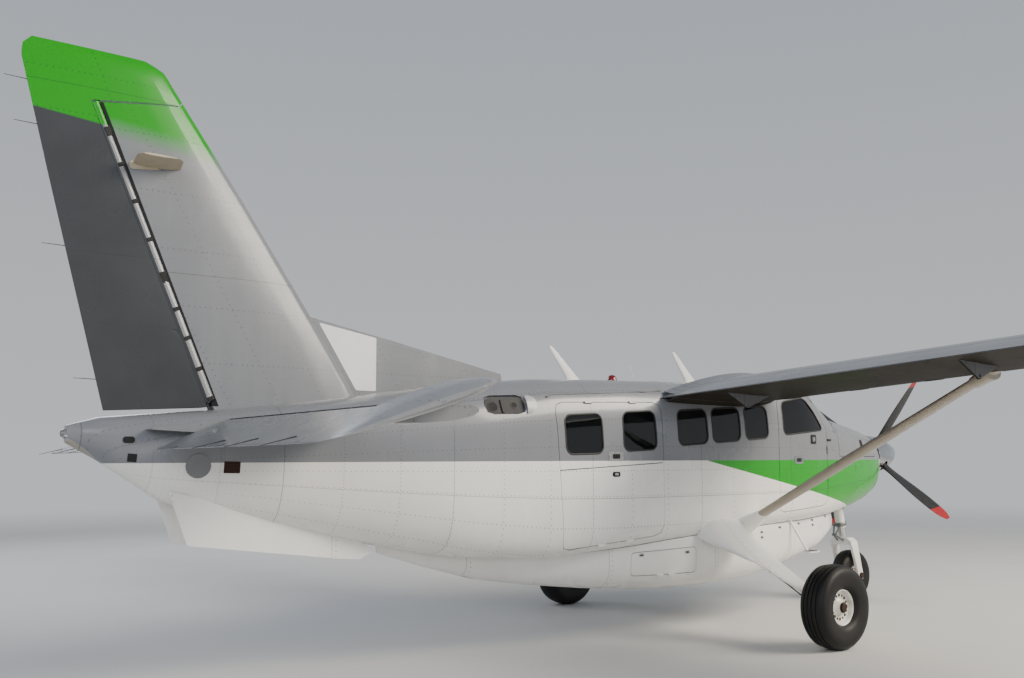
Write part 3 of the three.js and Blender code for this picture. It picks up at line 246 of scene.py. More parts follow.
def finish_enamel(
    tree, shader, colour, rows, lines, waviness=0.0014, dirt=0.08, dull=0.0, run=(1.6, 3.0, 0.6),
):
    """Sprayed enamel over riveted sheet: uneven gloss, dimpled rivets, dirt held in the seams."""
    dots, seams = strongest(tree, rows), strongest(tree, lines)
    where = add_node(tree, "TexCoord")["Object"]
    soft = add_node(tree, "TexNoise", {"Vector": where, "Scale": patches(667), "Detail": 1.0})["Fac"]
    streaked = add_node(tree, "Mapping", {"Vector": where, "Scale": run})[0]
    streak = add_node(tree, "TexNoise", {"Vector": streaked, "Scale": patches(500), "Detail": 3.0})["Fac"]
    grime = add_node(tree, "Math", streak, 2.4, -1.0, operation="MULTIPLY_ADD", use_clamp=True)[0]
    held = add_node(tree, "Math", strongest(tree, (dots, seams)), 0.55, operation="MULTIPLY")[0]
    shade = add_node(tree, "Math", grime, dirt, held, operation="MULTIPLY_ADD", use_clamp=True)[0]
    tree.links.new(coats(tree, colour, (shade, "#34322e")), shader.inputs["Base Color"])
    flat = add_node(tree, "Math", dull, 0.5, 0.22, operation="MULTIPLY_ADD")[0]
    uneven = add_node(tree, "Math", soft, 0.10, flat, operation="MULTIPLY_ADD")[0]
    rough = add_node(tree, "Math", grime, 0.04, uneven, operation="MULTIPLY_ADD")[0]
    tree.links.new(rough, shader.inputs["Roughness"])
    gleam = add_node(tree, "Math", dull, -0.4, 0.5, operation="MULTIPLY_ADD")[0]
    tree.links.new(gleam, shader.inputs["Specular IOR Level"])
    swell = add_node(tree, "Math", soft, 2.2, operation="MULTIPLY")[0]
    swell = add_node(tree, "Math", seams, -0.9, swell, operation="MULTIPLY_ADD")[0]
    swell = add_node(tree, "Math", dots, 0.5, swell, operation="MULTIPLY_ADD")[0]
    bump = add_node(tree, "Bump", {"Strength": 0.35, "Distance": waviness, "Height": swell})[0]
    tree.links.new(bump, shader.inputs["Normal"])


def skin_coordinates(tree):
    """X, Z and the distance round the section from its side, in metres."""
    x, y, z = add_node(tree, "SeparateXYZ", add_node(tree, "TexCoord")["Object"])
    side = add_node(tree, "Math", y, operation="ABSOLUTE")[0]
    up = add_node(tree, "Math", z, CORE_HEIGHT, operation="SUBTRACT")[0]
    turn = add_node(tree, "Math", up, side, operation="ARCTAN2")[0]
    return x, z, add_node(tree, "Math", turn, MEAN_REACH, operation="MULTIPLY")[0]


def inner_faces(tree):
    """1 where a skin faces the middle of the body, else 0."""
    place = add_node(tree, "TexCoord")
    from_core = add_node(tree, "VectorMath", place["Object"], (0, 0, CORE_HEIGHT), operation="SUBTRACT")[0]
    spoke = add_node(tree, "VectorMath", from_core, (0, 1, 1), operation="MULTIPLY")[0]
    outward = add_node(tree, "VectorMath", spoke, place["Normal"], operation="DOT_PRODUCT")["Value"]
    return add_node(tree, "Math", outward, -0.05, operation="LESS_THAN")[0]


NOSE_REACH = cad_box[1][0]
RING_COUNT = 24

# Body lines, as the sheet-metal lofting gives them: an oval with squared shoulders at each frame.
# Columns in millimetres: station ahead of the tail tip, half width, keel, widest height, crown,
# and the powers of the upper and lower halves.
BODY_FRAMES = (
    (410, 55, 1800, 1870, 1925, 2.0, 2.0),
    (620, 125, 1680, 1850, 1985, 2.2, 2.0),
    (1060, 220, 1390, 1800, 2025, 2.4, 2.2),
    (1600, 310, 1240, 1780, 2070, 2.6, 2.4),
    (2400, 440, 1060, 1740, 2170, 2.8, 2.8),
    (3000, 535, 945, 1700, 2260, 3.0, 3.4),
    (3450, 600, 860, 1680, 2330, 3.3, 4.2),
    (4250, 690, 815, 1650, 2400, 4.2, 7.0),
    (5000, 722, 850, 1650, 2425, 4.5, 7.0),
    (6500, 725, 930, 1660, 2460, 4.5, 7.0),
    (7300, 715, 980, 1670, 2505, 4.6, 7.0),
    (7650, 705, 1000, 1670, 2530, 4.6, 7.0),
    (7860, 690, 1010, 1670, 2485, 4.6, 6.5),
    (8350, 615, 1040, 1650, 2160, 4.0, 5.5),
    (8700, 555, 1080, 1640, 2115, 3.4, 4.5),
    (9000, 490, 1120, 1640, 2075, 3.0, 3.8),
    (9300, 415, 1175, 1640, 2030, 2.7, 3.2),
    (9550, 335, 1245, 1650, 1975, 2.4, 2.8),
    (9680, 262, 1350, 1660, 1925, 2.2, 2.4),
)
POD_FRAMES = (
    (2860, 12, 915, 960, 1010, 2.0, 2.0),
    (3300, 60, 780, 850, 920, 2.2, 2.0),
    (3800, 170, 640, 780, 900, 2.6, 2.4),
    (4300, 350, 560, 750, 900, 3.4, 3.0),
    (4900, 520, 490, 760, 960, 4.4, 3.4),
    (5600, 610, 430, 790, 1020, 5.0, 3.6),
    (6300, 640, 420, 800, 1060, 5.0, 3.6),
    (6900, 630, 440, 820, 1090, 5.0, 3.6),
    (7500, 590, 520, 860, 1120, 4.6, 3.4),
    (8150, 500, 640, 920, 1150, 4.0, 3.0),
    (8500, 390, 770, 990, 1155, 3.0, 2.6),
    (8680, 240, 930, 1060, 1150, 2.4, 2.2),
)


def section_at(frames, x):
    """Half width, keel, widest height, crown and the two powers at each of several stations."""
    table = np.array(frames, float)
    table[:, 0] = table[:, 0] / 1000 - NOSE_REACH
    table[:, 1:5] /= 1000
    return [np.interp(x, table[:, 0], table[:, k]) for k in range(1, 7)]


def fullness(frames, points):
    """How far out each point lies, as a share of the curved skin's distance: 1 is on the skin."""
    half, keel, widest, crown, upper, lower = section_at(frames, points[:, 0])
    up = points[:, 2] - widest
    power = np.where(up > 0, upper, lower)
    reach = np.where(up > 0, crown - widest, widest - keel)
    return ((np.abs(points[:, 1]) / half) ** power + (np.abs(up) / reach) ** power) ** (1 / power)


def ring_reach(frames, points):
    """Distance from the section's centre to the flat-sided ring, along the line to each point."""
    table = np.array(frames, float)
    turns = np.arange(RING_COUNT) * 2 * np.pi / RING_COUNT
    across, up = np.round(np.cos(turns), 9), np.round(np.sin(turns), 9)
    _, half, keel, widest, crown, upper, lower = [column[:, None] for column in table.T]
    power = np.where(up > 0, 2 / upper, 2 / lower)
    reach = np.where(up > 0, crown - widest, widest - keel)
    sides = np.sign(across) * half * np.abs(across) ** power / 1000
    heights = (widest + np.sign(up) * reach * np.abs(up) ** power) / 1000
    stations = table[:, 0] / 1000 - NOSE_REACH
    centre = section_at(frames, points[:, 0])[2]
    wide, high = (
        np.stack([np.interp(points[:, 0], stations, edge[:, k]) for k in range(RING_COUNT)], 1)
        for edge in (sides, heights)
    )
    ring = np.stack([wide, high - centre[:, None]], 2)
    line = np.stack([points[:, 1], points[:, 2] - centre], 1)
    length = np.maximum(np.linalg.norm(line, axis=1), 1e-9)
    line = line / length[:, None]
    after = np.roll(ring, -1, axis=1)
    edge = after - ring
    cross = line[:, None, 0] * edge[:, :, 1] - line[:, None, 1] * edge[:, :, 0]
    cross = np.where(np.abs(cross) < 1e-12, 1e-12, cross)
    along = (ring[:, :, 0] * edge[:, :, 1] - ring[:, :, 1] * edge[:, :, 0]) / cross
    share = (ring[:, :, 0] * line[:, None, 1] - ring[:, :, 1] * line[:, None, 0]) / cross
    inside = (share >= -1e-6) & (share <= 1 + 1e-6) & (along > 0)
    return np.where(inside, along, np.inf).min(1), length


def skin_normals(frames, points):
    """Outward directions of the curved skin, blended over a few frames along the body."""
    steps = ((0.12, 0, 0), (0, 0.002, 0), (0, 0, 0.002))
    slopes = [
        (fullness(frames, points + step) - fullness(frames, points - step)) / (2 * max(step))
        for step in np.array(steps)
    ]
    normals = np.stack(slopes, 1)
    return normals / np.maximum(np.linalg.norm(normals, axis=1), 1e-9)[:, None]


def coordinates(bm):
    """The mesh's points as rows of a table."""
    return np.array([v.co for v in bm.verts], float).reshape(-1, 3)


def new_piece(name, mesh, body, slot, *materials):
    """A piece on a body, with its materials. The slot is not used."""
    piece = bpy.data.objects.new(name, mesh)
    bpy.context.scene.collection.objects.link(piece)
    for material in materials:
        mesh.materials.append(material)
    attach(piece, body)
    return piece


def dress(node, mesh, *materials):
    """A finished skin in the place of a plain one, on the same body."""
    name = "smooth_" + node
    mesh.name = name
    slot = nodes[node].data.materials[0].name
    piece = new_piece(name, mesh, body_of(nodes[node])[0], slot, *materials)
    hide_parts(node)
    return piece


def rolled_skin(node, frames, material, longest=0.07):
    """The sheet of a node with its flat strips rolled to the true curve of the body."""
    bm = bmesh.new()
    bm.from_mesh(nodes[node].data)
    bmesh.ops.remove_doubles(bm, verts=bm.verts, dist=1e-5)
    bmesh.ops.triangulate(bm, faces=bm.faces)
    for _ in range(6):
        points = coordinates(bm)
        reach, length = ring_reach(frames, points)
        outer = np.abs(length - reach) < 0.008
        bm.verts.index_update()
        long = [
            e for e in bm.edges
            if e.calc_length() > longest and outer[e.verts[0].index] and outer[e.verts[1].index]
        ]
        if not long:
            break
        bmesh.ops.subdivide_edges(bm, edges=long, cuts=1)
        bmesh.ops.triangulate(bm, faces=[f for f in bm.faces if len(f.verts) > 3])
    points = coordinates(bm)
    reach, length = ring_reach(frames, points)
    centre = section_at(frames, points[:, 0])[2]
    curved = length / np.maximum(fullness(frames, points), 1e-6)
    grow = np.where((length - reach < 0.002) & np.isfinite(reach), curved / reach, 1.0)
    grow = np.clip(grow, 0.97, 1.06)
    for vertex, factor, middle in zip(bm.verts, grow, centre):
        vertex.co.y *= factor
        vertex.co.z = middle + (vertex.co.z - middle) * factor
    mesh = bpy.data.meshes.new(node)
    bm.to_mesh(mesh)
    bm.free()
    mesh.shade_smooth()
    points = np.array([v.co for v in mesh.vertices], float)
    outward = skin_normals(frames, points)
    custom = np.zeros((len(mesh.loops), 3))
    for polygon in mesh.polygons:
        flat = np.array(polygon.normal)
        for index in polygon.loop_indices:
            smooth = outward[mesh.loops[index].vertex_index]
            agree = float(flat @ smooth)
            custom[index] = smooth if agree > 0.88 else -smooth if agree < -0.88 else flat
    mesh.normals_split_custom_set([tuple(n) for n in custom])
    return dress(node, mesh, material)


# Aircraft enamel on riveted aluminium: a deep even gloss, broken by rows of rivets. Their heads are
# drawn about 10 mm wide for a true 6 mm so that they show. Inner faces are lined in buff.
fuselage_enamel, tree, shader = new_material(
    "polyurethane_enamel_on_riveted_aluminium", Coat_Weight=0.3, Coat_Roughness=0.08, IOR=1.45,
)
x, z, around = skin_coordinates(tree)
is_grey = above_line(tree, x, z, (-6.0, PARTING), (6.0, PARTING))
in_wedge = above_line(tree, x, z, WEDGE_START, WEDGE_LOW)
past_start = past(tree, x, WEDGE_START[0], 500.0)
behind_lip = past(tree, x, INTAKE_LIP, -400.0)
wedge = add_node(tree, "Math", in_wedge, past_start, operation="MULTIPLY")[0]
wedge = add_node(tree, "Math", wedge, behind_lip, operation="MULTIPLY")[0]
paint = coats(tree, WHITE, (wedge, GREEN), (is_grey, GREY), (inner_faces(tree), LINING))
rows = (rivet_rows(tree, x, around, 0.46, 0.11), rivet_rows(tree, around, x, 0.215, 0.05))
sheets = (seam_lines(tree, x, 1.38, 0.57), seam_lines(tree, around, 0.86, 0.28))
finish_enamel(tree, shader, paint, rows, sheets)
SHEET_NODES = (
    "cabin_shell", "cargo_door_upper", "cargo_door_lower", "crew_door_right", "crew_door_left",
    "tail_section", "tail_cone", "cowl_lower", "cowl_door_right", "cowl_door_left",
)
for node in SHEET_NODES:
    rolled_skin(node, BODY_FRAMES, fuselage_enamel)

# Windows: stretched acrylic sheet, tinted grey, with light wiping marks. The dark tint and a clean
# hard gloss are what the eye reads.
window_acrylic, tree, shader = new_material(
    "tinted_stretched_acrylic", Transmission_Weight=0.85, IOR=1.49, Specular_IOR_Level=0.3,
)
shader.inputs["Base Color"].default_value = linear("#1f2427")
where = add_node(tree, "TexCoord")["Object"]
wiped = add_node(tree, "TexNoise", {"Vector": where, "Scale": patches(111), "Detail": 6.0})["Fac"]
smeared = add_node(tree, "Math", wiped, 0.08, operation="MULTIPLY")[0]
tree.links.new(smeared, shader.inputs["Roughness"])
GLASS_NODES = (
    "cargo_door_glass", "cabin_glass_right", "cabin_glass_left", "crew_door_glass_right",
    "crew_door_glass_left", "windscreen",
)
for node in GLASS_NODES:
    rolled_skin(node, BODY_FRAMES, window_acrylic, longest=0.12)

# Belly pod and its hatch: moulded fibreglass screwed to the keel and sprayed white. It looks
# smoother than the sheet above it, and its white turns darker and browner towards the bottom.
white_enamel, tree, shader = new_material(
    "white_enamel_on_smooth_panels", Coat_Weight=0.5, Coat_Roughness=0.08, IOR=1.5,
)
x, z, around = skin_coordinates(tree)
darker_towards_bottom = add_node(tree, "Math", z, -1.2, 0.95, operation="MULTIPLY_ADD", use_clamp=True)[0]
darker_towards_bottom = add_node(tree, "Math", darker_towards_bottom, 0.35, operation="MULTIPLY")[0]
white_darker_low = coats(tree, WHITE, (darker_towards_bottom, "#a79f92"))
edge_rows = [rivet_rows(tree, x, z, 1.30, 0.2)]
edge_seams = [seam_lines(tree, x, 1.30, 0.235)]
finish_enamel(tree, shader, white_darker_low, edge_rows, edge_seams, waviness=0.0010)
for node in ("belly_pod", "pod_door"):
    rolled_skin(node, POD_FRAMES, white_enamel)


def formed_skin(node, material, corner=34.0, rounds=2):
    """A node's mesh with its curved faces bulged between their edges, and its sharp edges kept."""
    bm = bmesh.new()
    bm.from_mesh(nodes[node].data)
    bmesh.ops.remove_doubles(bm, verts=bm.verts, dist=1e-5)
    bmesh.ops.triangulate(bm, faces=bm.faces)
    limit = math.cos(math.radians(corner))

    def blended(vertex, face):
        """The normal at a vertex, shared by the faces there that turn little from this one."""
        total = Vector()
        for other in vertex.link_faces:
            if other.normal.dot(face.normal) > limit:
                total += other.normal * other.calc_area()
        return total.normalized() if total.length > 0 else face.normal.copy()

    for _ in range(rounds):
        bm.normal_update()
        splits = []
        for edge in bm.edges:
            if len(edge.link_faces) != 2:
                continue
            first, second = edge.link_faces
            if first.normal.dot(second.normal) <= limit:
                continue
            a, b = edge.verts
            ends = [blended(v, first) for v in (a, b)]
            if ends[0].dot(ends[1]) > 0.9985 or edge.calc_length() < 0.008:
                continue
            run = b.co - a.co
            near = (2 * a.co + b.co - run.dot(ends[0]) * ends[0]) / 3
            far = (2 * b.co + a.co + run.dot(ends[1]) * ends[1]) / 3
            splits.append((edge, a, (a.co + 3 * near + 3 * far + b.co) / 8))
        for edge, start, middle in splits:
            _, vertex = bmesh.utils.edge_split(edge, start, 0.5)
            vertex.co = middle
        bmesh.ops.triangulate(bm, faces=[f for f in bm.faces if len(f.verts) > 3])
    bm.normal_update()
    custom = []
    bm.faces.index_update()
    for face in bm.faces:
        custom += [tuple(blended(loop.vert, face)) for loop in face.loops]
    mesh = bpy.data.meshes.new(node)
    bm.to_mesh(mesh)
    bm.free()
    mesh.shade_smooth()
    mesh.normals_split_custom_set(custom)
    return dress(node, mesh, material)


# Strakes, gear legs, fork and steps: folded aluminium sheet, forged spring steel and welded tube,
# all sprayed with the white enamel of the pod and bolted to the frames.
for node in (
    "ventral_strake_right", "ventral_strake_left", "crew_step_right", "crew_step_left",
    "main_gear_leg_right", "main_gear_leg_left", "nose_leg", "nose_fork",
):
    formed_skin(node, white_enamel)

# Wing struts: extruded oval aluminium tube, pinned at both ends and enamelled. Its warm grey-brown
# is painted shade with a painted brown ground reflection, and faint lighter lines along the draw are painted
# highlights.
strut_enamel_with_painted_shade, tree, shader = new_material(
    "enamel_on_drawn_tube_with_painted_shade", Coat_Weight=0.4, Coat_Roughness=0.1, IOR=1.5,
)
where = add_node(tree, "TexCoord")["Object"]
drawn = add_node(tree, "Mapping", {"Vector": where, "Scale": (1.0, 0.15, 0.3)})[0]
lines = add_node(tree, "TexNoise", {"Vector": drawn, "Scale": patches(33.3), "Detail": 4.0})["Fac"]
tree.links.new(coats(tree, "#82796a", (lines, "#9a907d")), shader.inputs["Base Color"])
rough = add_node(tree, "Math", lines, 0.2, 0.22, operation="MULTIPLY_ADD")[0]
tree.links.new(rough, shader.inputs["Roughness"])
for node in ("wing_strut_right", "wing_strut_left"):
    formed_skin(node, strut_enamel_with_painted_shade)

# Wing, flaps and ailerons: sheet aluminium riveted to ribs and spars, in grey enamel. The under
# side is painted dark brown and dull: painted shade with a painted brown ground reflection. Beads pressed in
# the flaps stiffen them.
wing_enamel, tree, shader = new_material(
    "grey_enamel_on_wing_skin", Coat_Weight=0.1, Coat_Roughness=0.2, IOR=1.4,
)
x, y, z = add_node(tree, "SeparateXYZ", add_node(tree, "TexCoord")["Object"])
# Faces that turn downwards are painted dark brown: painted shade and a painted reflection of the brown
# ground.
facing_up = add_node(tree, "SeparateXYZ", add_node(tree, "NewGeometry")["Normal"])["Z"]
below = add_node(tree, "Math", facing_up, -4.0, 0.3, operation="MULTIPLY_ADD", use_clamp=True)[0]
wing_colour_with_painted_underside_shade = coats(tree, "#686b70", (below, "#29241e"))
ribs_and_spars = (rivet_rows(tree, y, x, 0.38, 0.05), rivet_rows(tree, x, y, 0.36, 0.1))
FLAP_NOSE = 0.795
on_flap = add_node(tree, "Math", x, FLAP_NOSE, operation="LESS_THAN")[0]
beads_pressed = seam_lines(tree, x, 0.13, 0.03, width=0.006)
beads_pressed = add_node(tree, "Math", on_flap, beads_pressed, operation="MULTIPLY")[0]
joints = (seam_lines(tree, y, 1.52, 0.1), seam_lines(tree, x, 1.08, 0.4), beads_pressed)
AIRFLOW = (0.5, 4.0, 4.0)
finish_enamel(tree, shader, wing_colour_with_painted_underside_shade, ribs_and_spars, joints, dull=below, run=AIRFLOW)
for node in ("wing_right", "wing_left", "flap_right", "flap_left", "aileron_right", "aileron_left"):
    formed_skin(node, wing_enamel)

# Fin, dorsal fin and tailplane: the same sheet and enamel, with a green tip that is faded in by
# spray at its lower edge, and long pale streaks where water has run.
GREEN_EDGE = ((-5.115, 4.150), (-3.805, 3.990))
tail_enamel, tree, shader = new_material(
    "grey_enamel_on_tail_skin", Coat_Weight=0.15, Coat_Roughness=0.15, IOR=1.45,
)
where = add_node(tree, "TexCoord")["Object"]
x, y, z = add_node(tree, "SeparateXYZ", where)
is_green = above_line(tree, x, z, *GREEN_EDGE, blur=0.16)
run = add_node(tree, "Mapping", {
    "Vector": where, "Rotation": (0, math.radians(-33), 0), "Scale": (3.0, 3.0, 0.4),
})[0]
runs = add_node(tree, "TexNoise", {
    "Vector": run, "Scale": patches(625), "Detail": 5.0, "Roughness": 0.6,
})["Fac"]
pale = add_node(tree, "Math", runs, 2.6, -1.15, operation="MULTIPLY_ADD", use_clamp=True)[0]
pale = add_node(tree, "Math", pale, 0.45, operation="MULTIPLY")[0]
HINGE_LOW = (-3.785, 2.060)
HINGE_TOP = (-4.705, 4.250)
FIN_GAP = 0.054
lean = (HINGE_TOP[0] - HINGE_LOW[0]) / (HINGE_TOP[1] - HINGE_LOW[1])
hinge_foot = HINGE_LOW[0] - lean * HINGE_LOW[1]
# The fin's skin just ahead of the rudder is painted near black: painted shade in the gap between them.
fin_edge = add_node(tree, "Math", z, lean, hinge_foot + FIN_GAP, operation="MULTIPLY_ADD")[0]
on_fin = add_node(tree, "Math", z, 2.08, operation="GREATER_THAN")[0]
painted_gap_shade = add_node(tree, "Math", past(tree, x, fin_edge, -400.0), on_fin, operation="MULTIPLY")[0]
tail_colour = coats(tree, "#7d8084", (pale, "#94979a"), (is_green, GREEN), (painted_gap_shade, "#121314"))
skewed = add_node(tree, "Math", z, 0.56, x, operation="MULTIPLY_ADD")[0]
tail_rows = (
    rivet_rows(tree, z, x, 0.42, 0.12), rivet_rows(tree, skewed, z, 0.40, 0.08),
    rivet_rows(tree, y, x, 0.44, 0.1),
)
finish_enamel(tree, shader, tail_colour, tail_rows, [seam_lines(tree, z, 1.68, 0.3)], dirt=0.06, run=AIRFLOW)
for node in ("fin", "dorsal_fin", "stabiliser_right", "stabiliser_left", "elevator_right", "elevator_left"):
    formed_skin(node, tail_enamel)

# Rudder: sheet aluminium with stamped ribs, charcoal enamel below and green at the tip. Its
# rounded nose, ahead of the skin's edge, is left in pale primer grey.
NOSE_STRIP = 0.012
HORN_FOOT = 4.2525
rudder_enamel, tree, shader = new_material(
    "charcoal_enamel_on_rudder_skin", Coat_Weight=0.15, Coat_Roughness=0.15, IOR=1.45,
)
where = add_node(tree, "TexCoord")["Object"]
x, y, z = add_node(tree, "SeparateXYZ", where)
is_green = above_line(tree, x, z, *GREEN_EDGE, blur=0.01)
patchy = add_node(tree, "TexNoise", {"Vector": where, "Scale": patches(400), "Detail": 5.0})["Fac"]
skin_edge = add_node(tree, "Math", z, lean, hinge_foot - NOSE_STRIP, operation="MULTIPLY_ADD")[0]
strip = add_node(
    tree, "Math", past(tree, x, skin_edge, 300.0), past(tree, z, HORN_FOOT, -200.0), operation="MULTIPLY",
)[0]
painted = coats(tree, "#303236", (patchy, "#434649"), (strip, "#8b8d8f"), (is_green, GREEN))
skewed = add_node(tree, "Math", z, 0.42, x, operation="MULTIPLY_ADD")[0]
rudder_rows = (rivet_rows(tree, z, x, 0.30, 0.05), rivet_rows(tree, skewed, z, 0.62, 0.32))
finish_enamel(tree, shader, painted, rudder_rows, [seam_lines(tree, z, 1.2, 0.45)])
formed_skin("rudder", rudder_enamel)

# Window seals: black extruded rubber pressed round each pane, a few millimetres proud of the skin.
# They read as a thin soft black line that makes every window look a little larger.
SIDES = (("right", -1), ("left", 1))


def mottled(name, dark, light, grain, rough, relief=0.0, **sockets):
    """A finish whose colour and gloss drift over patches of a size in mm, with a relief if given."""
    material, tree, shader = new_material(name, **sockets)
    where = add_node(tree, "TexCoord")["Object"]
    drift = add_node(tree, "TexNoise", {"Vector": where, "Scale": patches(grain), "Detail": 6.0})["Fac"]
    tree.links.new(coats(tree, dark, (drift, light)), shader.inputs["Base Color"])
    gloss = add_node(tree, "Math", drift, rough[1] - rough[0], rough[0], operation="MULTIPLY_ADD")[0]
    tree.links.new(gloss, shader.inputs["Roughness"])
    if relief:
        fine = patches(grain / 6)
        pits = add_node(tree, "TexNoise", {"Vector": where, "Scale": fine, "Detail": 3.0})["Fac"]
        bump = add_node(tree, "Bump", {"Strength": 0.4, "Distance": relief, "Height": pits})[0]
        tree.links.new(bump, shader.inputs["Normal"])
    return material


def place(station, side, height):
    """A point from millimetres ahead of the tail tip, to port, and above the ground."""
    return Vector((station / 1000 - NOSE_REACH, side / 1000, height / 1000))


def on_body(station, height, side, frames=BODY_FRAMES):
    """The skin's point and outward direction at a station and height, on the side of that sign."""
    x, z = station / 1000 - NOSE_REACH, height / 1000
    half, keel, widest, crown, upper, lower = [float(v) for v in section_at(frames, x)]
    power, reach = (upper, crown - widest) if z > widest else (lower, widest - keel)
    y = side * half * max(1 - (abs(z - widest) / reach) ** power, 0) ** (1 / power)
    normal = skin_normals(frames, np.array([[x, y, z]]))[0]
    return Vector((x, y, z)), Vector(normal)


def shaped(name, parts, corner=40):
    """One mesh from several lists of points and faces, smooth across edges below the corner angle."""
    points, faces = [], []
    for part_points, part_faces in parts:
        faces += [tuple(i + len(points) for i in face) for face in part_faces]
        points += [tuple(p) for p in part_points]
    mesh = bpy.data.meshes.new(name)
    mesh.from_pydata(points, [], faces)
    bm = bmesh.new()
    bm.from_mesh(mesh)
    bmesh.ops.recalc_face_normals(bm, faces=bm.faces)
    bm.to_mesh(mesh)
    bm.free()
    mesh.shade_smooth()
    mesh.set_sharp_from_angle(angle=math.radians(corner))
    return mesh


def add_piece(name, parts, body, slot, material, corner=40):
    """A piece on a body, made as one mesh from several lists of points and faces."""
    return new_piece(name, shaped(name, parts, corner), body, slot, material)


def loft_faces(rows, spokes, closed=False):
    """Sides between rings of points in turn, with the two ends filled, or joined to each other."""
    faces = []
    for k in range(rows if closed else rows - 1):
        here, there = k * spokes, (k + 1) % rows * spokes
        for i in range(spokes):
            j = (i + 1) % spokes
            faces.append((here + i, here + j, there + j, there + i))
    if not closed:
        faces += [tuple(range(spokes)), tuple(range((rows - 1) * spokes, rows * spokes))]
    return faces


def bead(spots, width, height, closed=False, sink=0.3):
    """A low rounded strip along a path, from its points and the surface's directions there."""
    profile = ((-0.5, -sink), (-0.42, 0.55), (-0.15, 1.0), (0.15, 1.0), (0.42, 0.55), (0.5, -sink))
    path, ups = zip(*spots)
    count = len(path)
    points = []
    for i in range(count):
        before = path[i - 1] if closed or i else path[i]
        after = path[(i + 1) % count] if closed or i < count - 1 else path[i]
        across = (after - before).cross(ups[i]).normalized()
        points += [path[i] + across * (width * u) + ups[i] * (height * v) for u, v in profile]
    return points, loft_faces(count, len(profile), closed)


CORNER_PULL = math.sqrt(0.5)


def rounded_outline(corners, radius, steps=5):
    """A closed outline with its corners turned by arcs."""
    outline = []
    for i, corner in enumerate(corners):
        ends = []
        for other in (corners[i - 1], corners[(i + 1) % len(corners)]):
            length = math.dist(corner, other)
            share = min(radius / length, 0.495)
            ends.append([a + (b - a) * share for a, b in zip(corner, other)])
        for k in range(steps + 1):
            t = k / steps
            pull = 2 * t * (1 - t) * CORNER_PULL
            total = (1 - t) ** 2 + pull + t * t
            outline.append(tuple(
                ((1 - t) ** 2 * a + pull * c + t * t * b) / total for a, c, b in zip(ends[0], corner, ends[1])
            ))
    return outline


def dense(outline, pitch):
    """An outline with points added so that none lie further apart than a pitch."""
    filled = []
    for i, start in enumerate(outline):
        end = outline[(i + 1) % len(outline)]
        count = max(1, math.ceil(math.dist(start, end) / pitch))
        filled += [tuple(a + (b - a) * k / count for a, b in zip(start, end)) for k in range(count)]
    return filled


CABIN_WINDOWS = {
    "first": ((4345, 1715), (4760, 1725), (4745, 2085), (4325, 2060)),
    "second": ((5000, 1745), (5420, 1765), (5400, 2125), (4990, 2100)),
    "third": ((5710, 1800), (6120, 1825), (6105, 2160), (5700, 2135)),
    "fourth": ((6190, 1830), (6600, 1855), (6590, 2190), (6180, 2165)),
    "fifth": ((6680, 1860), (7040, 1885), (7030, 2215), (6670, 2195)),
}
CREW_WINDOW = ((7290, 1917), (8030, 1985), (7715, 2330), (7285, 2264))
WINDOW_CORNER = 70
# Dull black: a soft dark edge with no glint.
seal_rubber = mottled("black_extruded_rubber", "#0b0b0c", "#19191a", 16.7, (0.45, 0.65))


def pane_seal(outline, side):
    """A rubber bead round a window's outline on one side of the body."""
    spots = [on_body(a, b, side) for a, b in dense(rounded_outline(outline, WINDOW_CORNER), 45)]
    return bead(spots, 0.017, 0.0035, closed=True)


SEAL_GROUPS = (
    ("cargo_door_window_seals", "upper_cargo_door", -1, ("first", "second")),
    ("cabin_window_seals_right", "airframe", -1, ("third", "fourth", "fifth")),
    ("cabin_window_seals_left", "airframe", 1, tuple(CABIN_WINDOWS)),
)
for name, body, side, windows in SEAL_GROUPS:
    rings = [pane_seal(CABIN_WINDOWS[window], side) for window in windows]
    add_piece(name, rings, body, "cabin_trim", seal_rubber)
for word, side in SIDES:
    name = "crew_window_seal_" + word
    add_piece(name, [pane_seal(CREW_WINDOW, side)], word + "_crew_door", "cabin_trim", seal_rubber)

# Drip rail: a folded aluminium gutter riveted above the cargo door, painted with the fuselage. It
# leads rain past the opening and throws a thin dark shadow.
RAIL = ((4175, 2212), (4240, 2238), (4700, 2262), (5200, 2290), (5500, 2312), (5570, 2322))
rail = bead([on_body(a, b, -1) for a, b in RAIL], 0.020, 0.016)
add_piece("cargo_door_drip_rail", [rail], "airframe", "upper_paint", fuselage_enamel)


# Door handles: shallow pans of bright stainless steel set in the skin, each with a dark paddle on a
# short stem that a hand pulls out. The locks are the other way round, steel in a black pan.
def standing(point, normal, along=(1, 0, 0)):
    """Axes on a surface: Z leaves it, X runs along it."""
    up = Vector(normal).normalized()
    ahead = Vector(along) - up * up.dot(Vector(along))
    ahead.normalize()
    across = up.cross(ahead)
    turn = Matrix((ahead, across, up)).transposed().to_4x4()
    return Matrix.Translation(point) @ turn


def pad(outline, low, high, edge, frame_matrix):
    """A flat plate with a chamfered upper edge, from an outline in metres."""
    centre = [sum(p[k] for p in outline) / len(outline) for k in (0, 1)]
    size = max(math.dist(p, centre) for p in outline)
    inner = [[c + (v - c) * (1 - edge / size) for v, c in zip(p, centre)] for p in outline]
    rings = ((outline, low), (outline, high - edge), (inner, high))
    points = [frame_matrix @ Vector((u, v, level)) for ring, level in rings for u, v in ring]
    return points, loft_faces(len(rings), len(outline))


def oblong(width, height, corner):
    """A rectangle about the origin with turned corners, in metres."""
    w, h = width / 2, height / 2
    return rounded_outline(((-w, -h), (w, -h), (w, h), (-w, h)), corner)


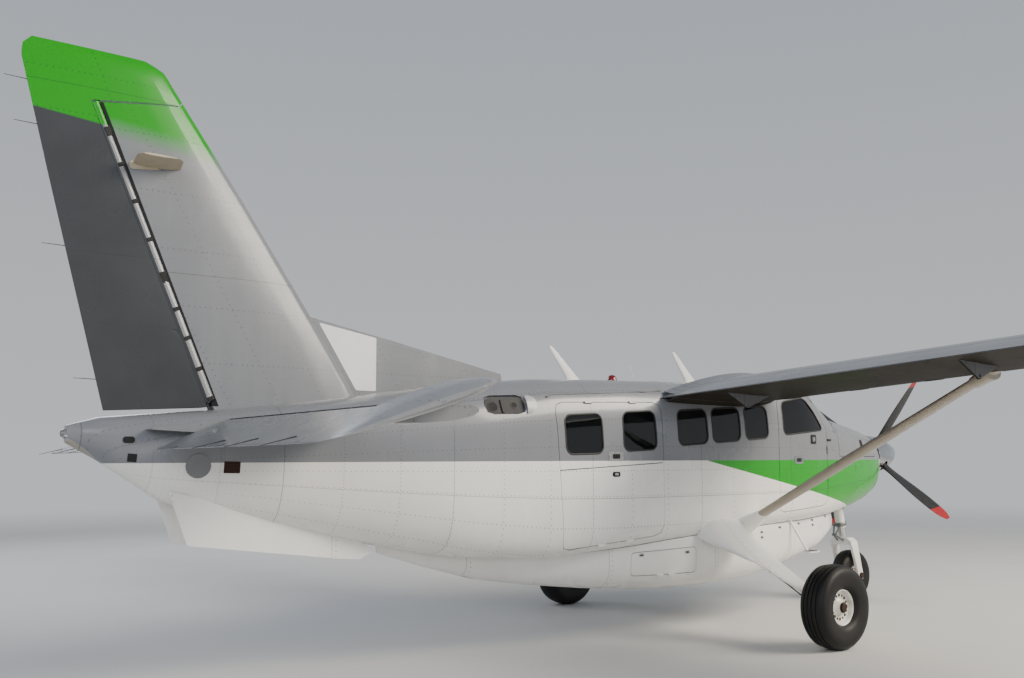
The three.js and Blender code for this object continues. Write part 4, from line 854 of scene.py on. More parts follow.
def turned(profile, segments, frame_matrix):
    """A body of revolution about Z from (along, radius) pairs that start and end on the axis."""
    points, faces, rings = [], [], []
    for along, radius in profile:
        count = segments if radius > 1e-6 else 1
        rings.append((len(points), count))
        for i in range(count):
            angle = 2 * math.pi * i / segments
            points.append(frame_matrix @ Vector((radius * math.cos(angle), radius * math.sin(angle), along)))
    for (a, count_a), (b, count_b) in zip(rings, rings[1:]):
        for i in range(segments):
            j = (i + 1) % segments
            corners = [a + i % count_a, a + j % count_a, b + j % count_b, b + i % count_b]
            corners = tuple(dict.fromkeys(corners))
            if len(corners) > 2:
                faces.append(corners)
    return points, faces


# Brushed bright metal: small sharp glints. The black paint sends back almost nothing; where it
# fills holes, slots and cut-outs it is painted shade.
stainless = mottled("brushed_stainless_steel", "#8d8f90", "#c4c5c6", 25, (0.22, 0.40), Metallic=1.0)
black_paint_and_hole_shade = mottled("black_paint_and_painted_hole_shade", "#060607", "#101011", 83, (0.6, 0.85))
HANDLE_STEM = ((0.0, 0.0), (0.0, 0.009), (0.012, 0.009), (0.014, 0.006), (0.014, 0.0))
# Columns: name, body, station and height in mm, width and height in m, whether its rim is black.
HANDLES = (
    ("cargo_door_handle", "upper_cargo_door", 4902, 1700, 0.170, 0.085, False),
    ("crew_door_lever_right", "right_crew_door", 7531, 1660, 0.150, 0.080, False),
    ("crew_door_lock_right", "right_crew_door", 7812, 1880, 0.105, 0.100, True),
    ("crew_door_lever_left", "left_crew_door", 7531, 1660, 0.150, 0.080, False),
    ("crew_door_lock_left", "left_crew_door", 7812, 1880, 0.105, 0.100, True),
    ("lower_door_catch", "lower_cargo_door", 4902, 1540, 0.090, 0.045, True),
)
for name, body, station, height, width, tall, black_rim in HANDLES:
    side = 1 if body.startswith("left") else -1
    axes = standing(*on_body(station, height, side))
    outer, inner = (black_paint_and_hole_shade, stainless) if black_rim else (stainless, black_paint_and_hole_shade)
    add_piece(name + "_pan", [
        pad(oblong(width, tall, 0.018), -0.006, 0.0045, 0.0015, axes),
    ], body, "exhaust_steel", outer)
    paddle = pad(oblong(width * 0.5, tall * 0.5, 0.012), 0.001, 0.0095, 0.002, axes)
    stem = turned(HANDLE_STEM, 16, axes)
    add_piece(name + "_paddle", [paddle, stem], body, "exhaust_steel", inner)


# Side recess behind the cargo door: its liner, painted near black as painted shade, carries two
# flanged holes and a post, and a pale spun fairing leads the air into its front end.
def skin_pads(name, spots, body, slot, material, low=-0.004, high=0.003, edge=0.001):
    """Thin plates on the body's side. Columns: station, height, width, height in m, corner, side."""
    parts = []
    for station, height, width, tall, corner, side in spots:
        axes = standing(*on_body(station, height, side))
        parts.append(pad(oblong(width, tall, corner), low, high, edge, axes))
    return add_piece(name, parts, body, slot, material)


LINER_DEPTH = 0.021
# The liner is dark and dull as painted shade, so the recess looks deep. The primer is chalky with a faint
# shine.
dark_paint_and_recess_shade = mottled("dark_paint_with_painted_recess_shade", "#1a1b1d", "#2b2c2f", 71, (0.5, 0.7))
pale_primer = mottled("pale_grey_primer", "#9c9da0", "#b9babb", 111, (0.3, 0.45), Coat_Weight=0.2)
skin_pads(
    "side_recess_liner", [(3760, 2136, 0.385, 0.155, 0.07, -1)], "airframe", "cabin_trim", dark_paint_and_recess_shade,
    low=-LINER_DEPTH - 0.004, high=-LINER_DEPTH + 0.003,
)
recess_parts = []
hole_parts = []
for station, height, radius in ((3645, 2122, 0.042), (3850, 2142, 0.024)):
    point, normal = on_body(station, height, -1)
    axes = standing(point - normal * LINER_DEPTH, normal)
    recess_parts.append(turned((
        (-0.002, 0.0), (-0.002, radius + 0.010), (0.006, radius + 0.008), (0.006, radius),
        (0.0025, radius - 0.002), (0.0025, 0.0),
    ), 32, axes))
    bore = radius - 0.003
    hole_parts.append(turned(((0.0, 0.0), (0.0, bore), (0.0045, bore), (0.0045, 0.0)), 32, axes))
point, normal = on_body(3735, 2128, -1)
axes = standing(point - normal * LINER_DEPTH, normal)
recess_parts.append(pad(oblong(0.022, 0.120, 0.004), 0.0, 0.014, 0.002, axes))
add_piece("side_recess_flanges", recess_parts, "airframe", "cabin_trim", dark_paint_and_recess_shade)
# The bores of the holes are black discs: painted shade.
add_piece("side_recess_holes", hole_parts, "airframe", "cabin_trim", black_paint_and_hole_shade)


def sheet_faces(rows, count):
    """A grid of points and the same grid behind it, joined round the rim into a closed sheet."""
    half = rows * count
    faces = []
    for start in (0, half):
        for a in range(start, start + half - count, count):
            faces += [(a + i, a + i + 1, a + count + i + 1, a + count + i) for i in range(count - 1)]
    rim = list(range(count)) + [k * count + count - 1 for k in range(1, rows)]
    rim += [(rows - 1) * count + i for i in range(count - 2, -1, -1)]
    rim += [k * count for k in range(rows - 2, 0, -1)]
    return faces + [(a, b, b + half, a + half) for a, b in zip(rim, rim[1:] + rim[:1])]


CONE_LENGTH = 0.115
CONE_BASE = 0.082
CONE_RISE = 0.024
CONE_ROWS, CONE_SPOKES = 9, 17
cone = []
for k in range(CONE_ROWS):
    t = k / (CONE_ROWS - 1)
    for i in range(CONE_SPOKES):
        across = (i / (CONE_SPOKES - 1) * 2 - 1) * CONE_BASE * math.sqrt(max(1 - t ** 2, 0.0004))
        rise = CONE_RISE * (1 - t) * math.sqrt(max(1 - (across / CONE_BASE) ** 2, 0))
        point, normal = on_body(3958 + t * CONE_LENGTH * 1000, 2140 + t * 14 + across * 1000, -1)
        cone.append(point + normal * (rise - 0.001))
cone += [p - on_body(4000, 2140, -1)[1] * 0.012 for p in cone]
fairing = (cone, sheet_faces(CONE_ROWS, CONE_SPOKES))
add_piece("side_recess_fairing", [fairing], "airframe", "upper_paint", pale_primer)


# Roof aerials: swept white blades of moulded glass fibre on thin foot plates, with a low beacon,
# a rod aerial and a flat receiver between them.
def blade_aerial(foot, tip, foot_chord, tip_chord, thick, across, foot_plate):
    """A swept blade with an oval section, from its foot to its tip, and the plate under it."""
    along = Vector((1, 0, 0))
    points = []
    stops, spokes = 7, 20
    for k in range(stops):
        t = k / (stops - 1)
        chord = foot_chord + (tip_chord - foot_chord) * t ** 0.8
        if k == stops - 1:
            chord *= 0.75
        for i in range(spokes):
            angle = 2 * math.pi * i / spokes
            u = math.cos(angle) * chord / 2
            v = math.sin(angle) * thick / 2 * (1 - 0.55 * t) * (1 - 0.35 * math.cos(angle))
            points.append(foot.lerp(tip, t) + along * u + across * v)
    return [(points, loft_faces(stops, spokes)), foot_plate]


def roof_axes(station, side=0.0):
    """The roof's point and outward direction at a station, and at a distance from the middle."""
    x = station / 1000 - NOSE_REACH
    half, _, widest, crown, upper, _ = [float(v) for v in section_at(BODY_FRAMES, x)]
    z = widest + (crown - widest) * (1 - (abs(side) / half) ** upper) ** (1 / upper)
    point = Vector((x, side, z))
    return point, Vector(skin_normals(BODY_FRAMES, np.array([[x, side, z]]))[0])


# Smooth and bright: a crisp white blade against the sky.
aerial_white = mottled(
    "white_polyurethane_on_glass_fibre", "#dddcd8", "#f1f0ec", 125, (0.25, 0.4), Coat_Weight=0.3,
)
ROOF_AERIALS = (("roof_aerial_rear", 5040, 4735, 330), ("roof_aerial_front", 6690, 6410, 330))
for name, foot_station, tip_station, tall in ROOF_AERIALS:
    point, normal = roof_axes(foot_station)
    tip = point + Vector(((tip_station - foot_station) / 1000, 0, tall / 1000))
    plate = pad(oblong(0.26, 0.075, 0.035), -0.004, 0.006, 0.002, standing(point, normal))
    blade = blade_aerial(point - normal * 0.004, tip, 0.185, 0.062, 0.030, Vector((0, 1, 0)), plate)
    add_piece(name, blade, "airframe", "lower_paint", aerial_white)
# Deep red that lets light in: it reads as a lens and not as a painted knob.
beacon_glass, tree, shader = new_material(
    "red_pressed_glass_lens", Transmission_Weight=0.6, IOR=1.5, Coat_Weight=0.5,
)
where = add_node(tree, "TexCoord")["Object"]
flutes = add_node(tree, "TexNoise", {"Vector": where, "Scale": patches(11.1), "Detail": 2.0})["Fac"]
tree.links.new(coats(tree, "#7a0d0a", (flutes, "#b4201a")), shader.inputs["Base Color"])
shader.inputs["Roughness"].default_value = 0.12
BEACON_BASE = ((-0.004, 0.0), (-0.004, 0.075), (0.012, 0.070), (0.016, 0.058), (0.016, 0.0))
BEACON_DOME = (
    (0.015, 0.0), (0.015, 0.050), (0.045, 0.047), (0.066, 0.036), (0.077, 0.018), (0.080, 0.0),
)
axes = standing(*roof_axes(5530))
base, dome = turned(BEACON_BASE, 32, axes), turned(BEACON_DOME, 32, axes)
add_piece("roof_beacon_base", [base], "airframe", "upper_paint", aerial_white)
add_piece("roof_beacon_lens", [dome], "airframe", "window_glass", beacon_glass)
add_piece("roof_receiver", [
    pad(oblong(0.19, 0.11, 0.04), -0.004, 0.020, 0.012, standing(*roof_axes(7260))),
], "airframe", "lower_paint", aerial_white)


def wire(path, radius, segments=10, tip=1.0):
    """A round rod through a list of points, thinning towards its end by a share."""
    points = []
    guide = Vector((0, 0, 1)) if abs((path[1] - path[0]).normalized().z) < 0.9 else Vector((0, 1, 0))
    across = (path[1] - path[0]).cross(guide).normalized()
    for k, centre in enumerate(path):
        before, after = path[max(k - 1, 0)], path[min(k + 1, len(path) - 1)]
        line = (after - before).normalized()
        across = (across - line * across.dot(line)).normalized()
        other = line.cross(across)
        reach = radius * (1 + (tip - 1) * k / (len(path) - 1))
        for i in range(segments):
            angle = 2 * math.pi * i / segments
            points.append(centre + across * (reach * math.cos(angle)) + other * (reach * math.sin(angle)))
    return points, loft_faces(len(path), segments)


ROD_FOOT = ((-0.003, 0.0), (-0.003, 0.022), (0.018, 0.014), (0.022, 0.0))
point, normal = roof_axes(5840)
add_piece("roof_rod_aerial", [
    turned(ROD_FOOT, 20, standing(point, normal)),
    wire([point, point + Vector((-0.03, 0, 0.10)), point + Vector((-0.08, 0, 0.20))], 0.004, tip=0.5),
], "airframe", "lower_paint", aerial_white)

# Fin aerials: a pair of flat swept blades of glass fibre, one on each side near the tip,
# on shallow foot plates.
# Beige and dull: the beige is a painted reflection of the brown ground on their shaded undersides.
glass_fibre_with_painted_ground_light = mottled("glass_fibre_with_painted_ground_light_colour", "#a3977f", "#c5b99f", 71, (0.4, 0.55))
for word, side in SIDES:
    foot = Vector((-4.258, side * 0.047, 3.846))
    tip = Vector((-4.300, side * 0.285, 3.862))
    plate_axes = standing(foot, Vector((0, side, 0.05)), (1, 0, 0.1))
    plate = pad(oblong(0.40, 0.060, 0.02), -0.006, 0.008, 0.002, plate_axes)
    name = "fin_aerial_" + word
    blade = blade_aerial(foot, tip, 0.350, 0.330, 0.034, Vector((0, 0, 1)), plate)
    add_piece(name, blade, "airframe", "upper_paint", glass_fibre_with_painted_ground_light)

# Static wicks: graphite-loaded rods riveted to the trailing edges by small aluminium shoes, which
# let charge leak away. They stand out as thin black lines.
# Matt black against the sky.
graphite = mottled("graphite_loaded_nylon", "#0d0d0e", "#1c1c1d", 20, (0.4, 0.6))
WICK_LENGTH = 0.150


def wicks(name, body, roots, along):
    """Thin rods from roots on a trailing edge, in the direction of the air."""
    rods = []
    for root in roots:
        start = Vector(root) - Vector(along) * 0.055
        rods.append(wire([start, Vector(root), Vector(root) + Vector(along) * WICK_LENGTH], 0.0042, 8, 0.45))
    add_piece(name, rods, body, "cabin_trim", graphite)


def rudder_edge(height):
    """The rudder's trailing edge at a height in metres."""
    heights, stations = (2.64, 3.71, 4.50), (0.490, 0.205, 0.004)
    slope = (stations[1] - stations[0]) / (heights[1] - heights[0])
    below = min(height - heights[0], 0)
    station = np.interp(height, heights, stations) + slope * below
    return (float(station) - NOSE_REACH, 0.0, height)


wicks("rudder_wicks", "rudder_body", [rudder_edge(h) for h in (4.33, 4.02, 3.18, 2.25)], (-1, 0, 0.02))
for word, side in SIDES:
    slant = math.sin(math.radians(15)) * 0.555
    wicks("elevator_wicks_" + word, word + "_elevator", [
        (-4.286, side * y, 1.925 - slant) for y in (1.5, 2.0, 2.5)
    ], (-0.97, 0, -0.24))
    wicks("aileron_wicks_" + word, word + "_aileron", [
        (0.367 + (y - 4.2) * 0.098, side * y, 2.430 + (y - 4.2) * 0.048) for y in (4.6, 5.4, 6.2)
    ], (-1, 0, -0.03))

# Rudder hinge brackets: cut-outs in the pale nose of the rudder, where the brackets of the fin reach
# in, drawn as black pads that are painted shade.
NOTCHES = (
    (4.05, 0.070), (3.82, 0.032), (3.56, 0.032), (3.29, 0.032), (3.02, 0.085), (2.79, 0.032), (2.58, 0.032),
    (2.355, 0.032), (2.135, 0.034),
)
notch_parts = []
for height, tall in NOTCHES:
    hinge = HINGE_LOW[0] + (height - HINGE_LOW[1]) * lean
    radius = 0.074 + (0.040 - 0.074) * (height - 2.12) / (4.255 - 2.12)
    for side in (-1, 1):
        point = Vector((hinge + 0.012, side * radius * 0.985, height))
        axes = standing(point, Vector((0.15, side, 0)), (lean, 0, 1))
        notch_parts.append(pad(oblong(tall, 0.045, 0.006), -0.010, 0.0022, 0.001, axes))
add_piece("rudder_bracket_notches", notch_parts, "rudder_body", "cabin_trim", black_paint_and_hole_shade)

# Tail details: an oval lightening recess drawn as a black pad, which is painted shade, a grey round
# access cover, a brown louvred drain vent, a black sensor plate, and a clear lamp at the tip of the cone.
# The vent is dark brown with a metal sheen. The cover is a shade off the skin, so its edge reads.
brown_anodised = mottled("dark_brown_anodised_aluminium", "#2a1710", "#3d241a", 50, (0.35, 0.5), Metallic=0.6)
grey_cover = mottled("grey_enamel_cover", "#63666a", "#74777b", 200, (0.2, 0.3), Coat_Weight=0.5)
for word, side in SIDES:
    skin_pads("tail_recess_" + word, [
        (792, 1823, 0.080, 0.046, 0.02, side),
    ], "airframe", "cabin_trim", black_paint_and_hole_shade)
    skin_pads("tail_sensor_plate_" + word, [
        (822, 1697, 0.062, 0.058, 0.004, side),
    ], "airframe", "cabin_trim", black_paint_and_hole_shade)
    skin_pads("tail_access_cover_" + word, [
        (1262, 1638, 0.180, 0.180, 0.089, side),
    ], "airframe", "upper_paint", grey_cover, high=0.0022)
    skin_pads("tail_drain_louvres_" + word, [
        (1498, 1596 + k * 15, 0.106, 0.010, 0.002, side) for k in range(5)
    ], "airframe", "cabin_trim", brown_anodised, high=0.006, edge=0.003)
    skin_pads("tail_drain_plate_" + word, [
        (1498, 1626, 0.118, 0.086, 0.004, side),
    ], "airframe", "cabin_trim", brown_anodised, high=0.0016, edge=0.0008)
# Clear with a faint haze: a bright rim round a dark middle.
clear_lens, tree, shader = new_material("clear_polycarbonate_lens", Transmission_Weight=0.9, IOR=1.58)
where = add_node(tree, "TexCoord")["Object"]
haze = add_node(tree, "TexNoise", {"Vector": where, "Scale": patches(33.3), "Detail": 3.0})
tree.links.new(add_node(tree, "Math", haze["Fac"], 0.12, operation="MULTIPLY")[0], shader.inputs["Roughness"])
shader.inputs["Base Color"].default_value = linear("#e8ecec")
TAIL_LENS = ((-0.006, 0.0), (-0.006, 0.034), (0.016, 0.032), (0.034, 0.022), (0.042, 0.0))
axes = Matrix.Translation(place(414, 0, 1866)) @ Matrix.Rotation(math.radians(-90), 4, "Y")
lens = turned(TAIL_LENS, 28, axes)
add_piece("tail_lamp", [lens], "airframe", "window_glass", clear_lens)

# Cargo door seal: a black rubber strip along the top of the lower half, which closes the joint
# between the halves from within.
spots = [on_body(4292 + k * 60, 1581 + k * 2.95, -1) for k in range(21)]
strip = bead([(p - n * 0.012, n) for p, n in spots], 0.022, 0.004)
add_piece("cargo_door_split_seal", [strip], "lower_cargo_door", "cabin_trim", seal_rubber)

# Pod joint: a thick fillet of dark polysulphide sealant along the line where the fibreglass pod
# meets the fuselage, dirty from the tyres.
# Lumpy and dull, as a bead laid by hand.
sealant = mottled("dark_polysulphide_sealant", "#17120f", "#2c241e", 56, (0.5, 0.75), relief=0.001)


def pod_joint(side):
    """The bead along the highest line at which the pod stands proud of the fuselage."""
    spots = []
    heights = np.linspace(0.60, 1.25, 1301)
    for station in range(3400, 8640, 60):
        spread = []
        for frames in (BODY_FRAMES, POD_FRAMES):
            section = [float(v) for v in section_at(frames, station / 1000 - NOSE_REACH)]
            half, keel, widest, crown, upper, lower = section
            power = np.where(heights > widest, upper, lower)
            reach = np.where(heights > widest, crown - widest, widest - keel)
            rest = np.maximum(1 - (np.abs(heights - widest) / reach) ** power, 0)
            spread.append(half * rest ** (1 / power))
        proud = heights[spread[1] > spread[0] + 0.001]
        if len(proud):
            point, normal = on_body(station, proud.max() * 1000, side)
            spots.append((point, (normal + Vector((0, side * 0.4, 0))).normalized()))
    return bead(spots, 0.024, 0.004)


for word, side in SIDES:
    name = "pod_joint_sealant_" + word
    add_piece(name, [pod_joint(side)], "airframe", "cabin_trim", sealant)

# Pod and cowl fasteners: flush turn latches of steel, their slots drawn as black bars of painted
# shade, in a line below the upper edge of the pod, and quarter-turn studs along the edges of the cowl doors.
POD_LATCHES = ((6991, 930), (7308, 964), (7672, 987), (7963, 1010), (8289, 1034), (6991, 878), (7962, 960))
for word, side in SIDES:
    rims, slots = [], []
    for station, height in POD_LATCHES:
        axes = standing(*on_body(station, height, side, POD_FRAMES))
        rims.append(pad(oblong(0.044, 0.024, 0.011), -0.004, 0.0030, 0.001, axes))
        slots.append(pad(oblong(0.030, 0.009, 0.004), 0.0, 0.0042, 0.0008, axes))
    add_piece("pod_latches_" + word, rims, "airframe", "exhaust_steel", stainless)
    add_piece("pod_latch_slots_" + word, slots, "airframe", "cabin_trim", black_paint_and_hole_shade)
rims, slots = [], []
for station in (5330, 5890):
    axes = standing(*on_body(station, 792, -1, POD_FRAMES))
    rims.append(pad(oblong(0.060, 0.030, 0.012), -0.004, 0.0034, 0.001, axes))
    slots.append(pad(oblong(0.036, 0.012, 0.005), 0.0, 0.0048, 0.0008, axes))
add_piece("pod_hatch_latches", rims, "pod_hatch", "exhaust_steel", stainless)
add_piece("pod_hatch_latch_slots", slots, "pod_hatch", "cabin_trim", black_paint_and_hole_shade)
STUD = ((-0.003, 0.0), (-0.003, 0.0085), (0.0012, 0.0080), (0.0024, 0.0055), (0.0028, 0.0))
stud_lines = (
    [(8440 + k * 104, 1722) for k in range(10)],
    [(8412, 1790 + k * 70) for k in range(5)],
    [(9380, 1760 + k * 60) for k in range(4)],
)
low_line = [(8420 + k * 100, 1672) for k in range(10)]
for word, side in SIDES:
    studs = [turned(STUD, 14, standing(*on_body(a, b, side))) for line in stud_lines for a, b in line]
    body = word + "_cowl_door"
    add_piece("cowl_studs_" + word, studs, body, "exhaust_steel", stainless)
    lower = [turned(STUD, 14, standing(*on_body(a, b, side))) for a, b in low_line]
    add_piece("cowl_base_studs_" + word, lower, "airframe", "exhaust_steel", stainless)

# Cowl vent and windscreen pillar catch: an oval louvre of black painted sheet on each cowl door,
# and a short black bar beside the windscreen.
for word, side in SIDES:
    body = word + "_cowl_door"
    skin_pads("cowl_vent_" + word, [(9010, 1830, 0.075, 0.125, 0.03, side)], body, "cabin_trim", black_paint_and_hole_shade)
    blades = [(9010, 1795 + k * 24, 0.062, 0.008, 0.002, side) for k in range(4)]
    skin_pads("cowl_vent_louvres_" + word, blades, body, "cabin_trim", dark_paint_and_recess_shade, high=0.0075, edge=0.003)
    bar = [(8150, 1876, 0.080, 0.020, 0.006, side)]
    skin_pads("pillar_catch_" + word, bar, "airframe", "cabin_trim", black_paint_and_hole_shade, high=0.012, edge=0.003)


# Gear and strut cuffs: moulded fibreglass fairings, sprayed white, that swell out of the fuselage
# and close round leg and strut; a collar in the strut's colour at the wing; and a braided brake
# hose clipped to the back of each leg.
def oval_loft(rings, power=2.3, spokes=32):
    """A skin through upright ovals. Columns in m: x, y, z, half length, rise above, drop below."""
    points = []
    for x, y, z, half, rise, drop in rings:
        for i in range(spokes):
            c, s = math.cos(2 * math.pi * i / spokes), math.sin(2 * math.pi * i / spokes)
            depth = rise if s > 0 else drop
            points.append((
                x + half * math.copysign(abs(c) ** (2 / power), c), y,
                z + depth * math.copysign(abs(s) ** (2 / power), s),
            ))
    return points, loft_faces(len(rings), spokes)


def smooth_line(knots, steps):
    """Points along a smooth curve through a list of knots."""
    ends = [np.array(knots[0], float), *[np.array(k, float) for k in knots], np.array(knots[-1], float)]
    line = []
    for a, b, c, d in zip(ends, ends[1:], ends[2:], ends[3:]):
        for k in range(steps):
            t = k / steps
            bend, twist = 2 * a - 5 * b + 4 * c - d, 3 * b - a - 3 * c + d
            line.append(0.5 * (2 * b + (c - a) * t + bend * t ** 2 + twist * t ** 3))
    line.append(ends[-1])
    return [tuple(float(v) for v in point) for point in line]


GEAR_CUFF = (
    (1.125, 0.600, 0.965, 0.300, 0.175, 0.110),
    (1.133, 0.720, 0.925, 0.292, 0.178, 0.098),
    (1.142, 0.800, 0.888, 0.276, 0.142, 0.082),
    (1.156, 0.900, 0.838, 0.247, 0.094, 0.062),
    (1.168, 1.000, 0.788, 0.216, 0.053, 0.045),
    (1.180, 1.095, 0.741, 0.187, 0.034, 0.034),
    (1.181, 1.104, 0.737, 0.182, 0.028, 0.030),
)
STRUT_FOOT = (
    (1.505, 0.640, 1.008, 0.175, 0.085, 0.075),
    (1.502, 0.735, 1.054, 0.165, 0.072, 0.060),
    (1.498, 0.790, 1.084, 0.140, 0.058, 0.052),
    (1.493, 0.850, 1.116, 0.118, 0.048, 0.046),
    (1.490, 0.900, 1.143, 0.104, 0.041, 0.042),
    (1.490, 0.908, 1.147, 0.098, 0.036, 0.037),
)
STRUT_TOP = (
    (1.568, 3.080, 2.291, 0.100, 0.042, 0.044),
    (1.568, 3.088, 2.296, 0.106, 0.047, 0.050),
    (1.571, 3.165, 2.337, 0.112, 0.050, 0.060),
    (1.573, 3.240, 2.378, 0.122, 0.034, 0.074),
)
for word, side in SIDES:
    for stem, rings, slot, finish in (
        ("gear_cuff_", GEAR_CUFF, "gear_paint", white_enamel),
        ("strut_foot_cuff_", STRUT_FOOT, "gear_paint", white_enamel),
        ("strut_top_cuff_", STRUT_TOP, "wing_paint", strut_enamel_with_painted_shade),
    ):
        fine = smooth_line(rings, 4)
        skin = oval_loft([(x, side * y, z, half, rise, drop) for x, y, z, half, rise, drop in fine])
        add_piece(stem + word, [skin], "airframe", slot, finish, corner=50)
# A fine braid drawn as dark mottle 12 mm wide, because its true 1 mm strands are too fine to show.
hose_rubber = mottled("braided_brake_hose", "#1b1b1c", "#38383a", 12.5, (0.4, 0.6))
HOSE_ROUTE = (
    (1.045, 1.02, 0.770), (1.080, 1.20, 0.672), (1.122, 1.40, 0.556), (1.135, 1.60, 0.440),
    (1.150, 1.71, 0.420),
)
for word, side in SIDES:
    path = [Vector((x, side * y, z)) for x, y, z in smooth_line(HOSE_ROUTE, 5)]
    clips = [
        wire([path[k] - Vector((0, 0, 0.006)), path[k] + Vector((0.030, 0, -0.002))], 0.006, 8)
        for k in (4, 9, 14)
    ]
    name = "brake_hose_" + word
    add_piece(name, [wire(path, 0.0065, 10), *clips], "airframe", "tyre_rubber", hose_rubber)

# Tyres: black moulded rubber with four grooves round the tread and a plain sidewall. Dust lies on
# them in patches. The grain is drawn 4 mm wide, because the true one is too fine to show.
tyre_rubber, tree, shader = new_material("black_tyre_rubber", IOR=1.52, Specular_IOR_Level=0.35)
where = add_node(tree, "TexCoord")["Object"]
dust = add_node(tree, "TexNoise", {
    "Vector": where, "Scale": patches(143), "Detail": 8.0, "Roughness": 0.65,
})["Fac"]
dusted = add_node(tree, "Math", dust, 1.6, -0.62, operation="MULTIPLY_ADD", use_clamp=True)[0]
tree.links.new(coats(tree, "#070707", (dusted, "#1f1d1b")), shader.inputs["Base Color"])
rough = add_node(tree, "Math", dust, 0.3, 0.38, operation="MULTIPLY_ADD")[0]
tree.links.new(rough, shader.inputs["Roughness"])
grain = add_node(tree, "TexNoise", {"Vector": where, "Scale": patches(3.85), "Detail": 2.0})["Fac"]
bump = add_node(tree, "Bump", {"Strength": 0.25, "Distance": 0.001, "Height": grain})[0]
tree.links.new(bump, shader.inputs["Normal"])
GROOVE_DEPTH = 0.007
LIP = 0.0015


def ring_body(profile, segments, frame_matrix):
    """A body of revolution about Z from a closed profile that stays off the axis."""
    points = []
    for i in range(segments):
        c, s = math.cos(2 * math.pi * i / segments), math.sin(2 * math.pi * i / segments)
        points += [frame_matrix @ Vector((radius * c, radius * s, along)) for along, radius in profile]
    return points, loft_faces(segments, len(profile), closed=True)


def tyre_outline(radius, width, rim, grooves):
    """Bead, bulging wall, shoulder and grooved tread on one side, then the same on the other."""
    half, wall = width / 2, radius - rim
    shares = ((0.62, 0.0), (0.84, 0.13), (0.94, 0.30), (1.0, 0.58), (0.92, 0.80), (0.70, 0.94))
    outline = smooth_line([(half * a, rim + 0.0003 + wall * b) for a, b in shares], 6)
    stops = [0.60 * half]
    for centre, across in grooves:
        outer, inner = centre + across / 2, centre - across / 2
        stops += [outer + LIP, outer, inner, inner - LIP]
    for k, stop in enumerate(stops):
        tread = radius - wall * 0.06 * (stop / (0.7 * half)) ** 2
        outline.append((stop, tread - (GROOVE_DEPTH if k % 4 in (2, 3) and k else 0)))
    return outline + [(-along, r) for along, r in reversed(outline)]


def wheel_axes(station, side, height, outward):
    """Axes at a wheel's centre, Z pointing away from the aircraft's middle."""
    turn = Matrix.Rotation(math.radians(-90 * outward), 4, "X")
    return Matrix.Translation(place(station, side, height)) @ turn


# Columns: tyre node, rim node, station, side and height of the centre, outward side, radius, width,
# rim radius, bore radius, and groove centres with widths.
WHEELS = (
    ("main_tyre_right", "main_rim_right", 6450, -1850, 368.5, -1, 0.3685, 0.270, 0.155, 0.033,
     ((0.062, 0.009), (0.021, 0.009))),
    ("main_tyre_left", "main_rim_left", 6450, 1850, 368.5, 1, 0.3685, 0.270, 0.155, 0.033,
     ((0.062, 0.009), (0.021, 0.009))),
    ("nose_tyre", "nose_rim", 9370, 0, 290, -1, 0.290, 0.196, 0.108, 0.023, ((0.042, 0.007), (0.014, 0.007))),
)
for tyre, rim_node, station, side, height, outward, radius, width, rim, bore, grooves in WHEELS:
    axes = wheel_axes(station, side, height, outward)
    mesh = shaped(tyre, [ring_body(tyre_outline(radius, width, rim, grooves), 96, axes)], 48)
    dress(tyre, mesh, tyre_rubber)

# Wheel rims: forged magnesium halves, sprayed white, bolted together through a dished web with
# round holes. Brown grease and brake dust lie in the dish.
rim_enamel, tree, shader = new_material("white_enamel_on_forged_magnesium", Coat_Weight=0.35, IOR=1.5)
where = add_node(tree, "TexCoord")["Object"]
smear = add_node(tree, "TexNoise", {"Vector": where, "Scale": patches(90.9), "Detail": 6.0})["Fac"]
smeared = add_node(tree, "Math", smear, 2.2, -1.0, operation="MULTIPLY_ADD", use_clamp=True)[0]
tree.links.new(coats(tree, "#e9e7e0", (smeared, "#8f7c62")), shader.inputs["Base Color"])
rough = add_node(tree, "Math", smeared, 0.3, 0.24, operation="MULTIPLY_ADD")[0]
tree.links.new(rough, shader.inputs["Roughness"])
# A brown film over steel: dark, with a dull shine.
greasy_steel = mottled("greasy_forged_steel", "#2a201a", "#5a4a3e", 22.2, (0.35, 0.6), Metallic=0.85)
WEB = 0.34
BOLT_CIRCLE = 0.665
WASHER = ((-0.001, 0), (-0.001, 0.0095), (0.002, 0.0095), (0.002, 0.0))
BOLT_HEAD = ((0.0015, 0), (0.0015, 0.0068), (0.0075, 0.0068), (0.0085, 0.0055), (0.0085, 0))


def rim_outline(width, rim, bore):
    """Bore, hub, dished web, wall and flange on one side, then the same on the other."""
    half = width / 2
    one_side = (
        (0.60, bore), (0.60, bore + 0.012), (0.52, bore + 0.020), (0.37, rim * 0.47), (WEB, rim * 0.52),
        (WEB, rim * 0.80), (0.37, rim * 0.86), (0.55, rim * 0.90), (0.60, rim * 0.93), (0.62, rim * 0.97),
    )
    side = [(half * a, r) for a, r in one_side] + [(half * 0.615, rim)]
    return side + [(-along, r) for along, r in reversed(side)]


